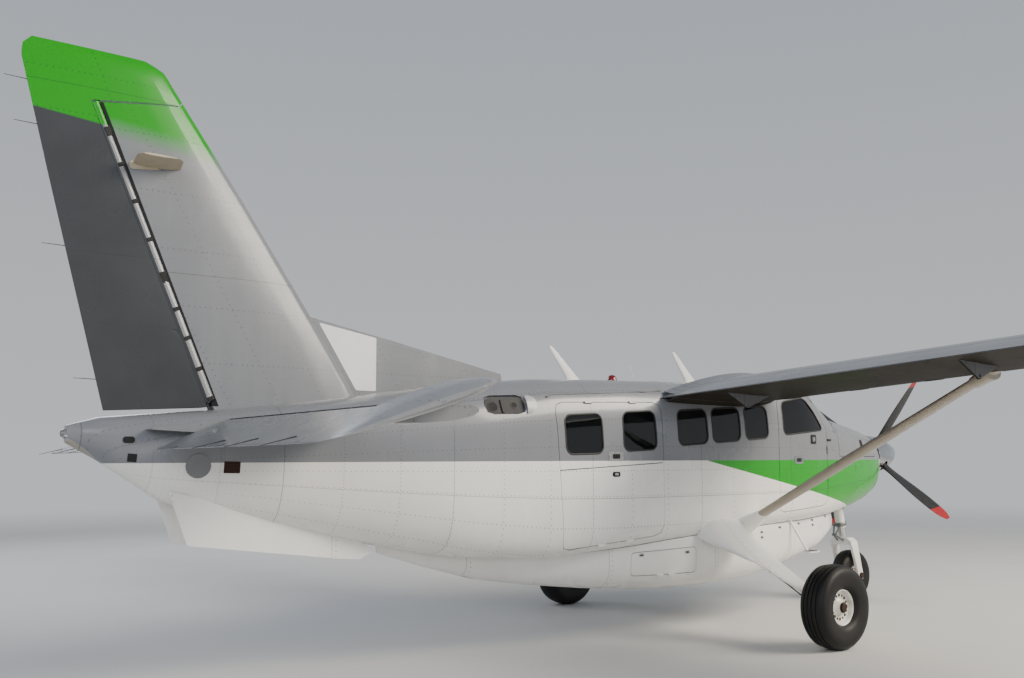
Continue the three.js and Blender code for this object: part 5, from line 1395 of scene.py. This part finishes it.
for tyre, rim_node, station, side, height, outward, radius, width, rim, bore, grooves in WHEELS:
    axes = wheel_axes(station, side, height, outward)
    mesh = shaped(rim_node, [ring_body(rim_outline(width, rim, bore), 72, axes)], 32)
    dress(rim_node, mesh, rim_enamel)
    body = body_of(nodes[rim_node])[0]
    web = width / 2 * WEB
    holes, bolts, collars = [], [], []
    for face in (1, -1):
        turn = axes if face > 0 else axes @ Matrix.Rotation(math.pi, 4, "X")
        for k in range(8):
            spoke = turn @ Matrix.Rotation(k * math.pi / 4, 4, "Z")
            hole = spoke @ Matrix.Translation((rim * BOLT_CIRCLE, 0, web))
            holes.append(turned((
                (-0.002, 0), (-0.002, rim * 0.092), (0.0016, rim * 0.088), (0.0016, 0),
            ), 20, hole))
            between = spoke @ Matrix.Rotation(math.pi / 8, 4, "Z")
            bolt = between @ Matrix.Translation((rim * BOLT_CIRCLE, 0, web))
            bolts += [turned(WASHER, 20, bolt), turned(BOLT_HEAD, 6, bolt)]
        top = width / 2 * 0.60
        collars.append(ring_body((
            (top - 0.004, bore + 0.0005), (top + 0.0025, bore + 0.0005), (top + 0.0025, bore + 0.008),
            (top + 0.001, bore + 0.0105), (top - 0.004, bore + 0.0115),
        ), 40, turn))
    name = rim_node.replace("rim", "wheel")
    # The round holes in the web are black discs: painted shade in the openings.
    add_piece(name + "_holes", holes, body, "cabin_trim", black_paint_and_hole_shade)
    add_piece(name + "_bolts", bolts, body, "wheel_metal", greasy_steel, corner=30)
    add_piece(name + "_grease_caps", collars, body, "wheel_metal", greasy_steel)

# Axle nuts, brakes and fork fittings: greasy hexagon nuts, a cast caliper bolted to each main leg,
# and the polished piston, scissor links and steering collar of the nose leg.
# The castings are grainy and grey with soft highlights. The chrome is a mirror, a bright line.
cast_alloy = mottled("cast_aluminium", "#6a6c6e", "#8d8f90", 33.3, (0.4, 0.6), relief=0.0006, Metallic=0.9)
polished_chrome = mottled("hard_chrome_plate", "#b9bbbd", "#d6d8da", 167, (0.05, 0.12), Metallic=1.0)


def block(size, matrix, bevel):
    """A box with rounded edges."""
    bm = bmesh.new()
    bmesh.ops.create_cube(bm, size=1.0)
    bmesh.ops.scale(bm, vec=size, verts=bm.verts)
    bmesh.ops.bevel(bm, geom=bm.edges[:] + bm.verts[:], offset=bevel, segments=3, profile=0.5, affect="EDGES")
    points = [matrix @ v.co for v in bm.verts]
    faces = [tuple(v.index for v in f.verts) for f in bm.faces]
    bm.free()
    return points, faces


AXLE_WASHER = ((0.0855, 0), (0.0855, 0.046), (0.0875, 0.048), (0.0895, 0.048), (0.0895, 0))
AXLE_NUT = ((0.0890, 0), (0.0890, 0.040), (0.0980, 0.040), (0.1000, 0.037), (0.1000, 0))
BRAKE_PLATE = ((-0.176, 0), (-0.176, 0.085), (-0.166, 0.090), (-0.162, 0.090), (-0.162, 0))
CALIPER_BOLT = ((0, 0), (0, 0.011), (0.008, 0.011), (0.010, 0.008), (0.010, 0))
FORK_WASHER = ((0.148, 0), (0.148, 0.038), (0.153, 0.038), (0.153, 0))
FORK_NUT = ((0.153, 0), (0.153, 0.030), (0.163, 0.030), (0.165, 0.027), (0.165, 0))
for word, side in SIDES:
    hub = wheel_axes(6450, side * 1850, 368.5, side)
    nut = [
        turned(AXLE_WASHER, 32, hub),
        turned(AXLE_NUT, 6, hub),
        wire([hub @ Vector((-0.046, 0, 0.0945)), hub @ Vector((0.046, 0, 0.0945))], 0.003, 8),
    ]
    add_piece("axle_nut_" + word, nut, "airframe", "wheel_metal", greasy_steel, corner=30)
    plate = turned(BRAKE_PLATE, 40, hub)
    caliper = block((0.085, 0.105, 0.052), hub @ Matrix.Translation((-0.112, 0, -0.136)), 0.010)
    bridge = block((0.070, 0.060, 0.022), hub @ Matrix.Translation((-0.085, 0, -0.168)), 0.005)
    upended = Matrix.Rotation(math.pi, 4, "X")
    ends = [
        turned(CALIPER_BOLT, 6, hub @ Matrix.Translation((-0.112, dy, -0.168)) @ upended)
        for dy in (-0.030, 0.030)
    ]
    name = "brake_caliper_" + word
    add_piece(name, [plate, caliper, bridge, *ends], "airframe", "wheel_metal", cast_alloy, corner=34)
    disc = ring_body(((-0.080, 0.050), (-0.080, 0.116), (-0.072, 0.116), (-0.072, 0.050)), 64, hub)
    add_piece("brake_disc_" + word, [disc], word + "_main_wheel", "wheel_metal", stainless, corner=30)
hub = wheel_axes(9370, 0, 290, -1)
fork_nuts = []
for face in (0, math.pi):
    turn = hub @ Matrix.Rotation(face, 4, "X")
    fork_nuts += [turned(FORK_WASHER, 32, turn), turned(FORK_NUT, 6, turn)]
add_piece("fork_axle_nuts", fork_nuts, "steering_fork", "wheel_metal", greasy_steel, corner=30)
leg_top, leg_low = place(9221, 0, 856), place(9254, 0, 728)
leg_turn = (leg_top - leg_low).to_track_quat("Z", "X").to_matrix().to_4x4()
leg_axes = Matrix.Translation(leg_low) @ leg_turn
piston = ring_body(((0.004, 0.0421), (0.004, 0.0436), (0.128, 0.0436), (0.128, 0.0421)), 48, leg_axes)
add_piece("nose_piston", [piston], "steering_fork", "exhaust_steel", polished_chrome, corner=30)
collar = ring_body((
    (0.155, 0.0558), (0.155, 0.066), (0.160, 0.070), (0.190, 0.070), (0.195, 0.066), (0.195, 0.0558),
), 48, leg_axes)
links = []
for start, end in (((-0.064, 0.175), (-0.150, 0.085)), ((-0.150, 0.085), (-0.052, -0.020))):
    for spread in (-1, 1):
        narrow, broad = 0.012, 0.045
        wide_start, wide_end = (broad, narrow) if start[0] > end[0] else (narrow, broad)
        a = leg_axes @ Vector((start[0], spread * wide_start, start[1]))
        b = leg_axes @ Vector((end[0], spread * wide_end, end[1]))
        links.append(wire([a, a.lerp(b, 0.5), b], 0.0115, 12))
links.append(wire([leg_axes @ Vector((-0.150, y, 0.085)) for y in (-0.030, 0.0, 0.030)], 0.015, 14))
links.append(wire([leg_axes @ Vector((-0.052, y, -0.020)) for y in (-0.060, 0.0, 0.060)], 0.014, 14))
links.append(wire([leg_axes @ Vector((-0.066, y, 0.175)) for y in (-0.058, 0.0, 0.058)], 0.014, 14))
add_piece("nose_scissor_links", [collar, *links], "steering_fork", "wheel_metal", cast_alloy)

# Propeller: four feathered composite blades with a matt black skin, a plated strip on the leading
# edge and a red tip, clamped in an aluminium hub.
HUB_CENTRE = (9900 / 1000 - NOSE_REACH, 0.0, 1.720)
shaft_axes = Matrix.Translation(HUB_CENTRE) @ Matrix.Rotation(math.radians(-3), 4, "Y")
# Columns: distance from the shaft, chord and thickness in m, and pitch in degrees.
BLADE = (
    (0.060, 0.100, 0.096, 90), (0.200, 0.104, 0.084, 96), (0.360, 0.160, 0.042, 93),
    (0.760, 0.214, 0.022, 84), (1.090, 0.170, 0.012, 78), (1.220, 0.062, 0.006, 75),
)
RED_FROM = 1.030
blade_paint, tree, shader = new_material(
    "matt_black_blade_coating_with_red_tip", IOR=1.5, Specular_IOR_Level=0.4,
)
where = add_node(tree, "TexCoord")["Object"]
from_hub = add_node(tree, "VectorMath", where, HUB_CENTRE, operation="DISTANCE")["Value"]
at_tip = past(tree, from_hub, RED_FROM, 400.0)
worn = add_node(tree, "TexNoise", {"Vector": where, "Scale": patches(40), "Detail": 6.0})["Fac"]
black = coats(tree, "#101112", (worn, "#232425"))
red = coats(tree, "#8c0c14", (worn, "#ad1a20"))
tree.links.new(coats(tree, black, (at_tip, red)), shader.inputs["Base Color"])
rough = add_node(tree, "Math", worn, 0.25, 0.30, operation="MULTIPLY_ADD")[0]
tree.links.new(rough, shader.inputs["Roughness"])
# Pale dull metal: a light edge on a black blade.
plated_edge = mottled("electroformed_nickel", "#8c8c88", "#b5b4ae", 16.7, (0.25, 0.45), Metallic=1.0)


def blade_part(turn):
    """One blade with its plated faces listed: oval at the root, thin and cambered further out."""
    stations = smooth_line(BLADE, 6)
    spokes = 28
    points = []
    for radius, chord, thick, pitch in stations:
        angle = math.radians(pitch)
        out = min(max((radius - 0.30) / 0.35, 0), 1)
        for i in range(spokes):
            t = 2 * math.pi * i / spokes
            u = chord / 2 * math.cos(t)
            v = thick / 2 * math.sin(t) * (1 + 0.30 * out * math.cos(t))
            local = Vector((
                u * math.sin(angle) + v * math.cos(angle), u * math.cos(angle) - v * math.sin(angle), radius,
            ))
            points.append(shaft_axes @ (Matrix.Rotation(turn, 4, "X") @ local))
    plated = [
        math.cos(2 * math.pi * (i + 0.5) / spokes) > 0.90 and 0.45 < stations[k][0] < RED_FROM
        for k in range(len(stations) - 1) for i in range(spokes)
    ]
    return points, loft_faces(len(stations), spokes), plated + [False, False]


REST_TURN = 38
blade_parts = [blade_part(math.radians(REST_TURN + 90 * k)) for k in range(4)]
hub_turn = shaft_axes @ Matrix.Rotation(math.radians(90), 4, "Y")
hub_part = turned((
    (-0.165, 0.0), (-0.165, 0.086), (-0.160, 0.092), (-0.090, 0.138), (-0.080, 0.140), (0.100, 0.140),
    (0.112, 0.136), (0.140, 0.045), (0.150, 0.0),
), 48, hub_turn)
mesh = shaped("propeller", [(p, f) for p, f, _ in blade_parts] + [hub_part], 36)
marks = [m for _, _, plated in blade_parts for m in plated] + [None] * len(hub_part[1])
dress("propeller", mesh, blade_paint, plated_edge, cast_alloy)
for polygon, mark in zip(mesh.polygons, marks):
    polygon.material_index = 2 if mark is None else int(mark)

# Spinner: spun aluminium, polished until it mirrors floor and sky, with small round screws round
# its back edge that hold it to the plate behind the blades.
spun_aluminium = mottled("polished_spun_aluminium", "#a9abad", "#c9cbcd", 200, (0.10, 0.22), Metallic=1.0)
formed_skin("spinner", spun_aluminium, corner=40, rounds=3)
screws = []
for k in range(24):
    angle = 2 * math.pi * (k + 0.5) / 24
    out = Vector((0, math.cos(angle), math.sin(angle)))
    seat = shaft_axes @ (Vector((-0.172, 0, 0)) + out * 0.2505)
    screws.append(turned(STUD, 12, standing(seat, shaft_axes.to_3x3() @ out)))
add_piece("spinner_screws", screws, "propeller_body", "exhaust_steel", stainless)

# Exhaust and engine: a stainless pipe browned unevenly by heat, and the dark rough castings of the
# engine behind the cowl doors, ringed by thin burnt pipes that are clamped to its flanges.
burnt_steel = mottled("heat_tinted_stainless_steel", "#4c3a30", "#9a8f88", 111, (0.28, 0.58), Metallic=1.0)
formed_skin("exhaust_stub_left", burnt_steel, corner=50, rounds=2)
engine_case = mottled("dark_cast_magnesium", "#3b3d3f", "#5d5f60", 50, (0.4, 0.6), relief=0.002, Metallic=0.8)
formed_skin("engine_block", engine_case, corner=30, rounds=2)
pipes = []
for along, radius in ((-0.45, 0.184), (-0.50, 0.184), (-0.72, 0.249), (-0.98, 0.249), (-1.24, 0.249)):
    ring = ring_body((
        (along - 0.007, radius - 0.004), (along - 0.005, radius + 0.004), (along + 0.005, radius + 0.004),
        (along + 0.007, radius - 0.004),
    ), 48, hub_turn)
    pipes.append(ring)
for k in range(14):
    angle = 2 * math.pi * k / 14
    out = Vector((0, math.cos(angle), math.sin(angle)))
    line = [shaft_axes @ (Vector((x, 0, 0)) + out * 0.253) for x in (-0.74, -0.90, -1.05, -1.22)]
    pipes.append(wire(line, 0.007, 8))
add_piece("engine_pipes", pipes, "airframe", "engine_metal", burnt_steel)

# Wing fittings: root fillets of fibreglass, flush fuel caps, small screwed covers below, a pitot
# tube of chromed steel, tip lights, and the clear pane of the landing lamp in each leading edge.
# Columns: span, nose station and height, tail station and height, all in mm, and the thickness as
# a share of the chord.
WING_ROWS = (
    (0, 7252, 2352, 5524, 2216, 0.165), (4195, 7225, 2545, 5570, 2428, 0.150),
    (4205, 7290, 2548, 5570, 2428, 0.145), (6560, 7110, 2602, 5800, 2545, 0.125),
    (6780, 7040, 2604, 5860, 2556, 0.090), (6860, 6860, 2590, 6000, 2570, 0.035),
)
WING_CAMBER = 0.018
EDGE_HALF = 1.5


def wing_point(side, span, turn):
    """A point on the wing: turn runs from -1, the lower trailing edge, by 0, the nose, to 1 above."""
    spans, *columns = np.array(WING_ROWS, float).T
    lead_x, lead_z, trail_x, trail_z, thick = [float(np.interp(span * 1000, spans, c)) for c in columns]
    x = turn * turn
    chord = math.dist((lead_x, lead_z), (trail_x, trail_z))
    curve = 0.2969 * abs(turn) - 0.126 * x - 0.3516 * x ** 2 + 0.2843 * x ** 3 - 0.1015 * x ** 4
    half = 5 * thick * curve * chord + EDGE_HALF * x
    bow = WING_CAMBER * 4 * x * (1 - x) * chord
    height = lead_z + (trail_z - lead_z) * x + bow + math.copysign(half, turn)
    return place(lead_x + (trail_x - lead_x) * x, side * span * 1000, height)


def on_wing(side, span, turn):
    """The point with the outward direction there."""
    point = wing_point(side, span, turn)
    along = wing_point(side, span, min(turn + 0.01, 1)) - wing_point(side, span, max(turn - 0.01, -1))
    outward = along.cross(wing_point(side, span + 0.01, turn) - point).normalized()
    inside = wing_point(side, span, 0.55).lerp(wing_point(side, span, -0.55), 0.5)
    return point, outward if outward.dot(point - inside) > 0 else -outward


def wing_band(side, stops, turns):
    """A sheet over the wing from (span, standoff) stops, along a range of turns, with a back face."""
    points = [
        p + n * (standoff - depth)
        for depth in (0, 0.006) for span, standoff in stops
        for p, n in (on_wing(side, span, t) for t in turns)
    ]
    return points, sheet_faces(len(stops), len(turns))


# Coloured glass with a hard gloss: a small bright spot of colour at each tip.
red_lens = mottled(
    "red_pressed_glass", "#7d0f0d", "#b3221c", 25, (0.08, 0.18), Coat_Weight=0.6, Transmission_Weight=0.3,
)
green_lens = mottled(
    "green_pressed_glass", "#0c5a35", "#188a53", 25, (0.08, 0.18), Coat_Weight=0.6, Transmission_Weight=0.3,
)
ROOT_FLARE = (
    (0.660, 0.040), (0.700, 0.026), (0.730, 0.016), (0.760, 0.008), (0.785, 0.003), (0.792, 0.001),
)
LAMP_PANE = ((5.20, 0.0014), (5.30, 0.0018), (5.42, 0.0018), (5.52, 0.0014))
FUEL_CAP = ((-0.004, 0), (-0.004, 0.062), (0.0015, 0.062), (0.0030, 0.058), (0.0030, 0))
CAP_LOCK = ((0.002, 0), (0.002, 0.030), (0.0050, 0.030), (0.0055, 0.027), (0.0055, 0))
COVER_SCREW = ((-0.001, 0), (-0.001, 0.0042), (0.0008, 0.0040), (0.0014, 0.0))
TIP_LENS = ((-0.030, 0), (-0.030, 0.018), (0.0, 0.019), (0.022, 0.016), (0.036, 0.009), (0.040, 0))
COVER_SPANS = (1.15, 1.90, 2.65, 4.40, 5.15, 5.90)
INNER_WING_END = 4.3
FILLET_TURNS = [-0.98 + 1.96 * k / 56 for k in range(57)]
LENS_TURNS = [-0.20 + 0.40 * k / 16 for k in range(17)]
for word, side in SIDES:
    fillet = wing_band(side, ROOT_FLARE, FILLET_TURNS)
    add_piece("wing_root_fillet_" + word, [fillet], "airframe", "wing_paint", wing_enamel, corner=60)
    caps, levers = [], []
    for span in (1.55, 3.60):
        axes = standing(*on_wing(side, span, 0.52))
        caps.append(turned(FUEL_CAP, 40, axes))
        levers.append(pad(oblong(0.070, 0.016, 0.007), 0.002, 0.008, 0.002, axes))
        levers.append(turned(CAP_LOCK, 28, axes))
    add_piece("fuel_caps_" + word, caps, "airframe", "wing_paint", grey_cover)
    add_piece("fuel_cap_levers_" + word, levers, "airframe", "exhaust_steel", stainless)
    covers, dots = [], []
    for span in COVER_SPANS:
        for turn in (-0.45, -0.66) if span > INNER_WING_END else (-0.45,):
            axes = standing(*on_wing(side, span, turn))
            covers.append(pad(oblong(0.20, 0.12, 0.058), -0.003, 0.0016, 0.0008, axes))
            for k in range(8):
                angle = math.pi * (2 * k + 1) / 8
                spot = axes @ Matrix.Translation((0.080 * math.cos(angle), 0.046 * math.sin(angle), 0.0012))
                dots.append(turned(COVER_SCREW, 10, spot))
    add_piece("wing_covers_" + word, covers, "airframe", "wing_paint", wing_enamel)
    add_piece("wing_cover_screws_" + word, dots, "airframe", "exhaust_steel", stainless)
    pane = wing_band(side, LAMP_PANE, LENS_TURNS)
    add_piece("landing_lamp_pane_" + word, [pane], "airframe", "window_glass", clear_lens, corner=60)
    sweep = Matrix.Rotation(math.radians(-38 * side), 4, "Z")
    ahead = Matrix.Rotation(math.radians(90), 4, "Y")
    axes = Matrix.Translation(place(6975, side * 6834, 2597)) @ sweep @ ahead
    glass = green_lens if side < 0 else red_lens
    light = turned(TIP_LENS, 24, axes)
    add_piece("tip_light_" + word, [light], "airframe", "window_glass", glass)
mast, outward = on_wing(1, 4.60, -0.30)
PITOT_BENDS = ((0, 0, 0), (0.01, 0, -0.10), (0.05, 0, -0.128), (0.24, 0, -0.130))
tube = [mast + Vector(bend) for bend in PITOT_BENDS]
add_piece("pitot_tube", [
    wire([Vector(p) for p in smooth_line(tube, 6)], 0.011, 14, 0.9),
    pad(oblong(0.10, 0.04, 0.018), -0.002, 0.006, 0.002, standing(mast, outward)),
], "airframe", "exhaust_steel", polished_chrome)

# Dorsal film: a plain white self-adhesive film laid over each side of the dorsal fin, a little
# brighter and duller than the enamel beside it.
film = mottled("white_vinyl_film", "#dedfe0", "#f0f0ef", 167, (0.35, 0.5))
FILM = ((2300, 2788), (2830, 2698), (2830, 2250), (2645, 2250))
for word, side in SIDES:
    edge = rounded_outline(FILM, 12, steps=3)
    points = [place(a, side * level, b) for level in (16.5, 17.9) for a, b in edge]
    faces = loft_faces(2, len(edge))
    add_piece("dorsal_film_" + word, [(points, faces)], "airframe", "upper_paint", film)

# Windscreen trims: black sealant beads along the edges of the two panes and down the middle post,
# and a pair of wipers, steel arms with rubber blades, all dull black.
PANE_ENDS = (
    (8322, 0.030, 0.600), (8322, -0.600, -0.030), (7872, 0.030, 0.640), (7872, -0.640, -0.030),
)
beads = []
for station, start, end in PANE_ENDS:
    across = [start + (end - start) * k / 14 for k in range(15)]
    beads.append(bead([roof_axes(station, y) for y in across], 0.022, 0.004))
for inner in (-0.030, 0.030):
    beads.append(bead([roof_axes(7872 + 30 * k, inner) for k in range(16)], 0.016, 0.0035))
add_piece("windscreen_sealant", beads, "airframe", "cabin_trim", seal_rubber)
wipers = []
for side in (-1, 1):
    spots = [roof_axes(8335 - 36 * k, side * (0.10 + 0.022 * k)) for k in range(9)]
    wipers.append(wire([p + n * (0.018 if 0 < k < 8 else 0.008) for k, (p, n) in enumerate(spots)], 0.006, 8))
    blade_spots = [roof_axes(8120 - 34 * k, side * (0.16 + 0.030 * k)) for k in range(7)]
    wipers.append(bead([(p + n * 0.006, n) for p, n in blade_spots], 0.012, 0.010))
add_piece("windscreen_wipers", wipers, "airframe", "cabin_trim", black_paint_and_hole_shade)

# Step treads and tail ring: black grit pads bonded to the steps, and a steel tie-down ring under
# the tail cone.
# Grains drawn about 4 mm wide for a true 1 mm: coarse, black and without shine.
grit = mottled("black_grit_tread", "#141414", "#2c2c2b", 4.5, (0.7, 0.95), relief=0.0015)
for word, side in SIDES:
    axes = Matrix.Translation(place(7545, side * 800, 722))
    add_piece("step_tread_" + word, [
        pad(oblong(0.160, 0.092, 0.030), -0.001, 0.0022, 0.0008, axes),
    ], "airframe", "cabin_trim", grit)
turns = [2 * math.pi * k / 24 for k in range(24)]
ring = [place(1330, 0, 1306) + Vector((0.022 * math.cos(a), 0, 0.026 * math.sin(a))) for a in turns]
add_piece("tail_ring", [wire(ring + [ring[0]], 0.005, 10)], "airframe", "exhaust_steel", stainless)

# Crew seats: grey leather over moulded foam, sewn with sunk seams and a piped edge, on a light
# alloy frame, with webbing belts. The crown and the seams show that they are soft. Pores are drawn
# 2.4 mm apart for a true 0.5 mm.
seat_leather, tree, shader = new_material(
    "grey_upholstery_leather", IOR=1.48, Specular_IOR_Level=0.4, Sheen_Weight=0.1,
)
where = add_node(tree, "TexCoord")["Object"]
tone = add_node(tree, "TexNoise", {"Vector": where, "Scale": patches(83.3), "Detail": 6.0})["Fac"]
tree.links.new(coats(tree, "#2c2d30", (tone, "#45474b")), shader.inputs["Base Color"])
rough = add_node(tree, "Math", tone, 0.2, 0.45, operation="MULTIPLY_ADD")[0]
tree.links.new(rough, shader.inputs["Roughness"])
pores = add_node(tree, "TexVoronoi", {"Vector": where, "Scale": patches(2.38)})["Distance"]
bump = add_node(tree, "Bump", {"Strength": 0.35, "Distance": 0.0008, "Height": pores})[0]
tree.links.new(bump, shader.inputs["Normal"])
CUSHION_POWER = 7
SEAM_DEPTH = 0.007
SEAM_SPREAD = 0.045
SEAT_SIDE = 330


def cushion_part(size, crown, seams, matrix):
    """A stuffed pad about the origin, face up, with sunk seams at shares of its width."""
    bm = bmesh.new()
    bmesh.ops.create_cube(bm, size=2.0)
    bmesh.ops.subdivide_edges(bm, edges=bm.edges[:], cuts=23, use_grid_fill=True)
    points = []
    for vertex in bm.verts:
        a, b, c = vertex.co
        length = sum(abs(v) ** CUSHION_POWER for v in (a, b, c)) ** (1 / CUSHION_POWER)
        a, b, c = a / length, b / length, c / length
        lift = 0.0
        if c > 0:
            lift = crown * (1 - a * a) * (1 - b * b) * c
            for seam in seams:
                sunk = math.exp(-((b - seam) / SEAM_SPREAD) ** 2) * max(0, 1 - abs(a) ** 6)
                lift -= SEAM_DEPTH * sunk * c
        waist = (1 + 0.02 * (1 - c * c)) / 2
        along, across, thick = size
        points.append(matrix @ Vector((a * along * waist, b * across * waist, c * thick / 2 + lift)))
    bm.verts.index_update()
    faces = [tuple(v.index for v in f.verts) for f in bm.faces]
    bm.free()
    return points, faces


def piping(size, level, matrix):
    """A sewn cord round a pad at a height above its middle."""
    w, h = size[0] / 2 * 0.985, size[1] / 2 * 0.985
    line = dense(rounded_outline(((-w, -h), (w, -h), (w, h), (-w, h)), 0.05), 0.03)
    up = matrix.to_3x3() @ Vector((0, 0, 1))
    spots = [(matrix @ Vector((u, v, level)), up) for u, v in line + line[:1]]
    return bead(spots, 0.008, 0.004, sink=1.0)


# The frame is an even dull grey. The webbing is flat, its weave too fine to draw but as mottle.
frame_alloy = mottled("grey_powder_coat", "#3f4245", "#54575a", 33.3, (0.45, 0.6))
belt_webbing = mottled("grey_nylon_webbing", "#55585b", "#6e7174", 11.1, (0.7, 0.9))
BELT_FACE = Vector((0.97, 0, 0.23))
BELT_LINE = ((7346, 1466), (7306, 1560), (7278, 1700), (7241, 1850), (7201, 1925))
# Columns: name, centre station and height, size along, across and thick, crown, tilt in degrees.
CUSHIONS = (
    ("seat_base", 7532, 1398, (0.415, 0.385, 0.100), 0.016, -2.5),
    ("seat_back", 7228, 1690, (0.440, 0.375, 0.085), 0.016, 99.5),
    ("seat_headrest", 7181, 1997, (0.105, 0.230, 0.062), 0.012, 99.5),
)
for word, side in SIDES:
    node = "crew_seat_" + word
    for name, station, height, size, crown, tilt in CUSHIONS:
        lean = Matrix.Rotation(math.radians(tilt), 4, "Y")
        matrix = Matrix.Translation(place(station, side * SEAT_SIDE, height)) @ lean
        seams = (-0.38, 0.0, 0.38) if name != "seat_headrest" else (0.0,)
        parts = [cushion_part(size, crown, seams, matrix), piping(size, size[2] * 0.33, matrix)]
        piece = add_piece(name + "_" + word, parts, "airframe", "seat_fabric", seat_leather, corner=60)
        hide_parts(node)
    lean = Matrix.Rotation(math.radians(5.3), 4, "Y")
    blocks = [
        block((0.320, 0.300, 0.205), Matrix.Translation(place(7452, side * SEAT_SIDE, 1204)), 0.012),
        block((0.405, 0.380, 0.028), Matrix.Translation(place(7520, side * SEAT_SIDE, 1328)), 0.010),
        block((0.022, 0.380, 0.500), Matrix.Translation(place(7168, side * SEAT_SIDE, 1700)) @ lean, 0.008),
        wire([place(7156, side * (SEAT_SIDE + dy), 1930) for dy in (-60, -59)], 0.007, 10),
    ]
    for dy in (-60, 60):
        post = side * (SEAT_SIDE + dy)
        blocks.append(wire([place(7158, post, 1900), place(7150, post, 2020)], 0.007, 10))
    piece = add_piece("seat_frame_" + word, blocks, "airframe", "cabin_trim", frame_alloy)
    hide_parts(node)
    belts = []
    for dy in (-110, 110):
        spots = [
            (place(a, side * (SEAT_SIDE + dy * (1 - 0.25 * k / 4)), b), BELT_FACE)
            for k, (a, b) in enumerate(BELT_LINE)
        ]
        belts.append(bead(spots, 0.042, 0.002))
    add_piece("seat_belts_" + word, belts, "airframe", "seat_fabric", belt_webbing)

# Instrument panel and floor: a matt grey panel with three dark glossy screens, round standby dials
# and rows of knobs and switches under a black shade, and a dark loop carpet glued to the floor. Its
# loops are drawn 6 mm wide for a true 3 mm.
panel_paint = mottled("matt_grey_panel_paint", "#393b3e", "#484a4d", 28.6, (0.55, 0.7))
nodes["instrument_panel"].data.materials.clear()
nodes["instrument_panel"].data.materials.append(panel_paint)
screen_glass = mottled("dark_display_glass", "#07090c", "#10161c", 125, (0.05, 0.10), Coat_Weight=0.5)
PANEL_TURN = Matrix((
    (0.0, -0.1065, -0.9943, 0.0), (-1.0, 0.0, 0.0, 0.0), (0.0, 0.9943, -0.1065, 0.0), (0.0, 0.0, 0.0, 1.0),
))


def panel_axes(side, height):
    """Axes on the sloping face of the panel: X to starboard, Z towards the seats."""
    return Matrix.Translation(place(8060 + (height - 1500) * 60 / 560, side * 1000, height)) @ PANEL_TURN


SCREEN_KNOB = ((0.011, 0), (0.011, 0.005), (0.018, 0.0045), (0.018, 0))
DIAL_RIM = ((-0.002, 0), (-0.002, 0.040), (0.010, 0.040), (0.012, 0.036), (0.012, 0.0))
DIAL_GLASS = ((0.006, 0), (0.006, 0.033), (0.0128, 0.033), (0.0132, 0.0))
bezels, glasses, knobs, dials = [], [], [], []
for side in (-0.36, 0.0, 0.36):
    axes = panel_axes(side, 1840)
    bezels.append(pad(oblong(0.300, 0.220, 0.014), -0.004, 0.012, 0.004, axes))
    glasses.append(pad(oblong(0.250, 0.180, 0.006), 0.008, 0.0135, 0.0008, axes))
    for k in range(6):
        spot = axes @ Matrix.Translation((0.138, -0.075 + 0.030 * k, 0))
        knobs.append(turned(SCREEN_KNOB, 14, spot))
for side in (-0.12, 0.0, 0.12):
    axes = panel_axes(side, 1665)
    dials.append(turned(DIAL_RIM, 32, axes))
    glasses.append(turned(DIAL_GLASS, 32, axes))
for height, reach in ((1560, 0.014), (1600, 0.026)):
    switch = ((-0.001, 0), (-0.001, 0.007), (0.010, 0.006), (reach, 0.004), (reach, 0))
    knobs += [turned(switch, 12, panel_axes(-0.45 + 0.06 * k, height)) for k in range(16)]
add_piece("panel_bezels", bezels + dials, "airframe", "cabin_trim", black_paint_and_hole_shade)
add_piece("panel_screens", glasses, "airframe", "window_glass", screen_glass)
add_piece("panel_knobs", knobs, "airframe", "cabin_trim", dark_paint_and_recess_shade)
shade_axes = Matrix.Translation(place(8135, 0, 2068)) @ Matrix.Rotation(math.radians(6), 4, "Y")
shade = block((0.150, 0.960, 0.022), shade_axes, 0.009)
add_piece("panel_shade", [shade], "airframe", "cabin_trim", seal_rubber)
carpet = mottled("dark_loop_carpet", "#26282b", "#3a3d41", 6.2, (0.8, 1.0), relief=0.003)
nodes["cabin_floor"].data.materials.clear()
nodes["cabin_floor"].data.materials.append(carpet)
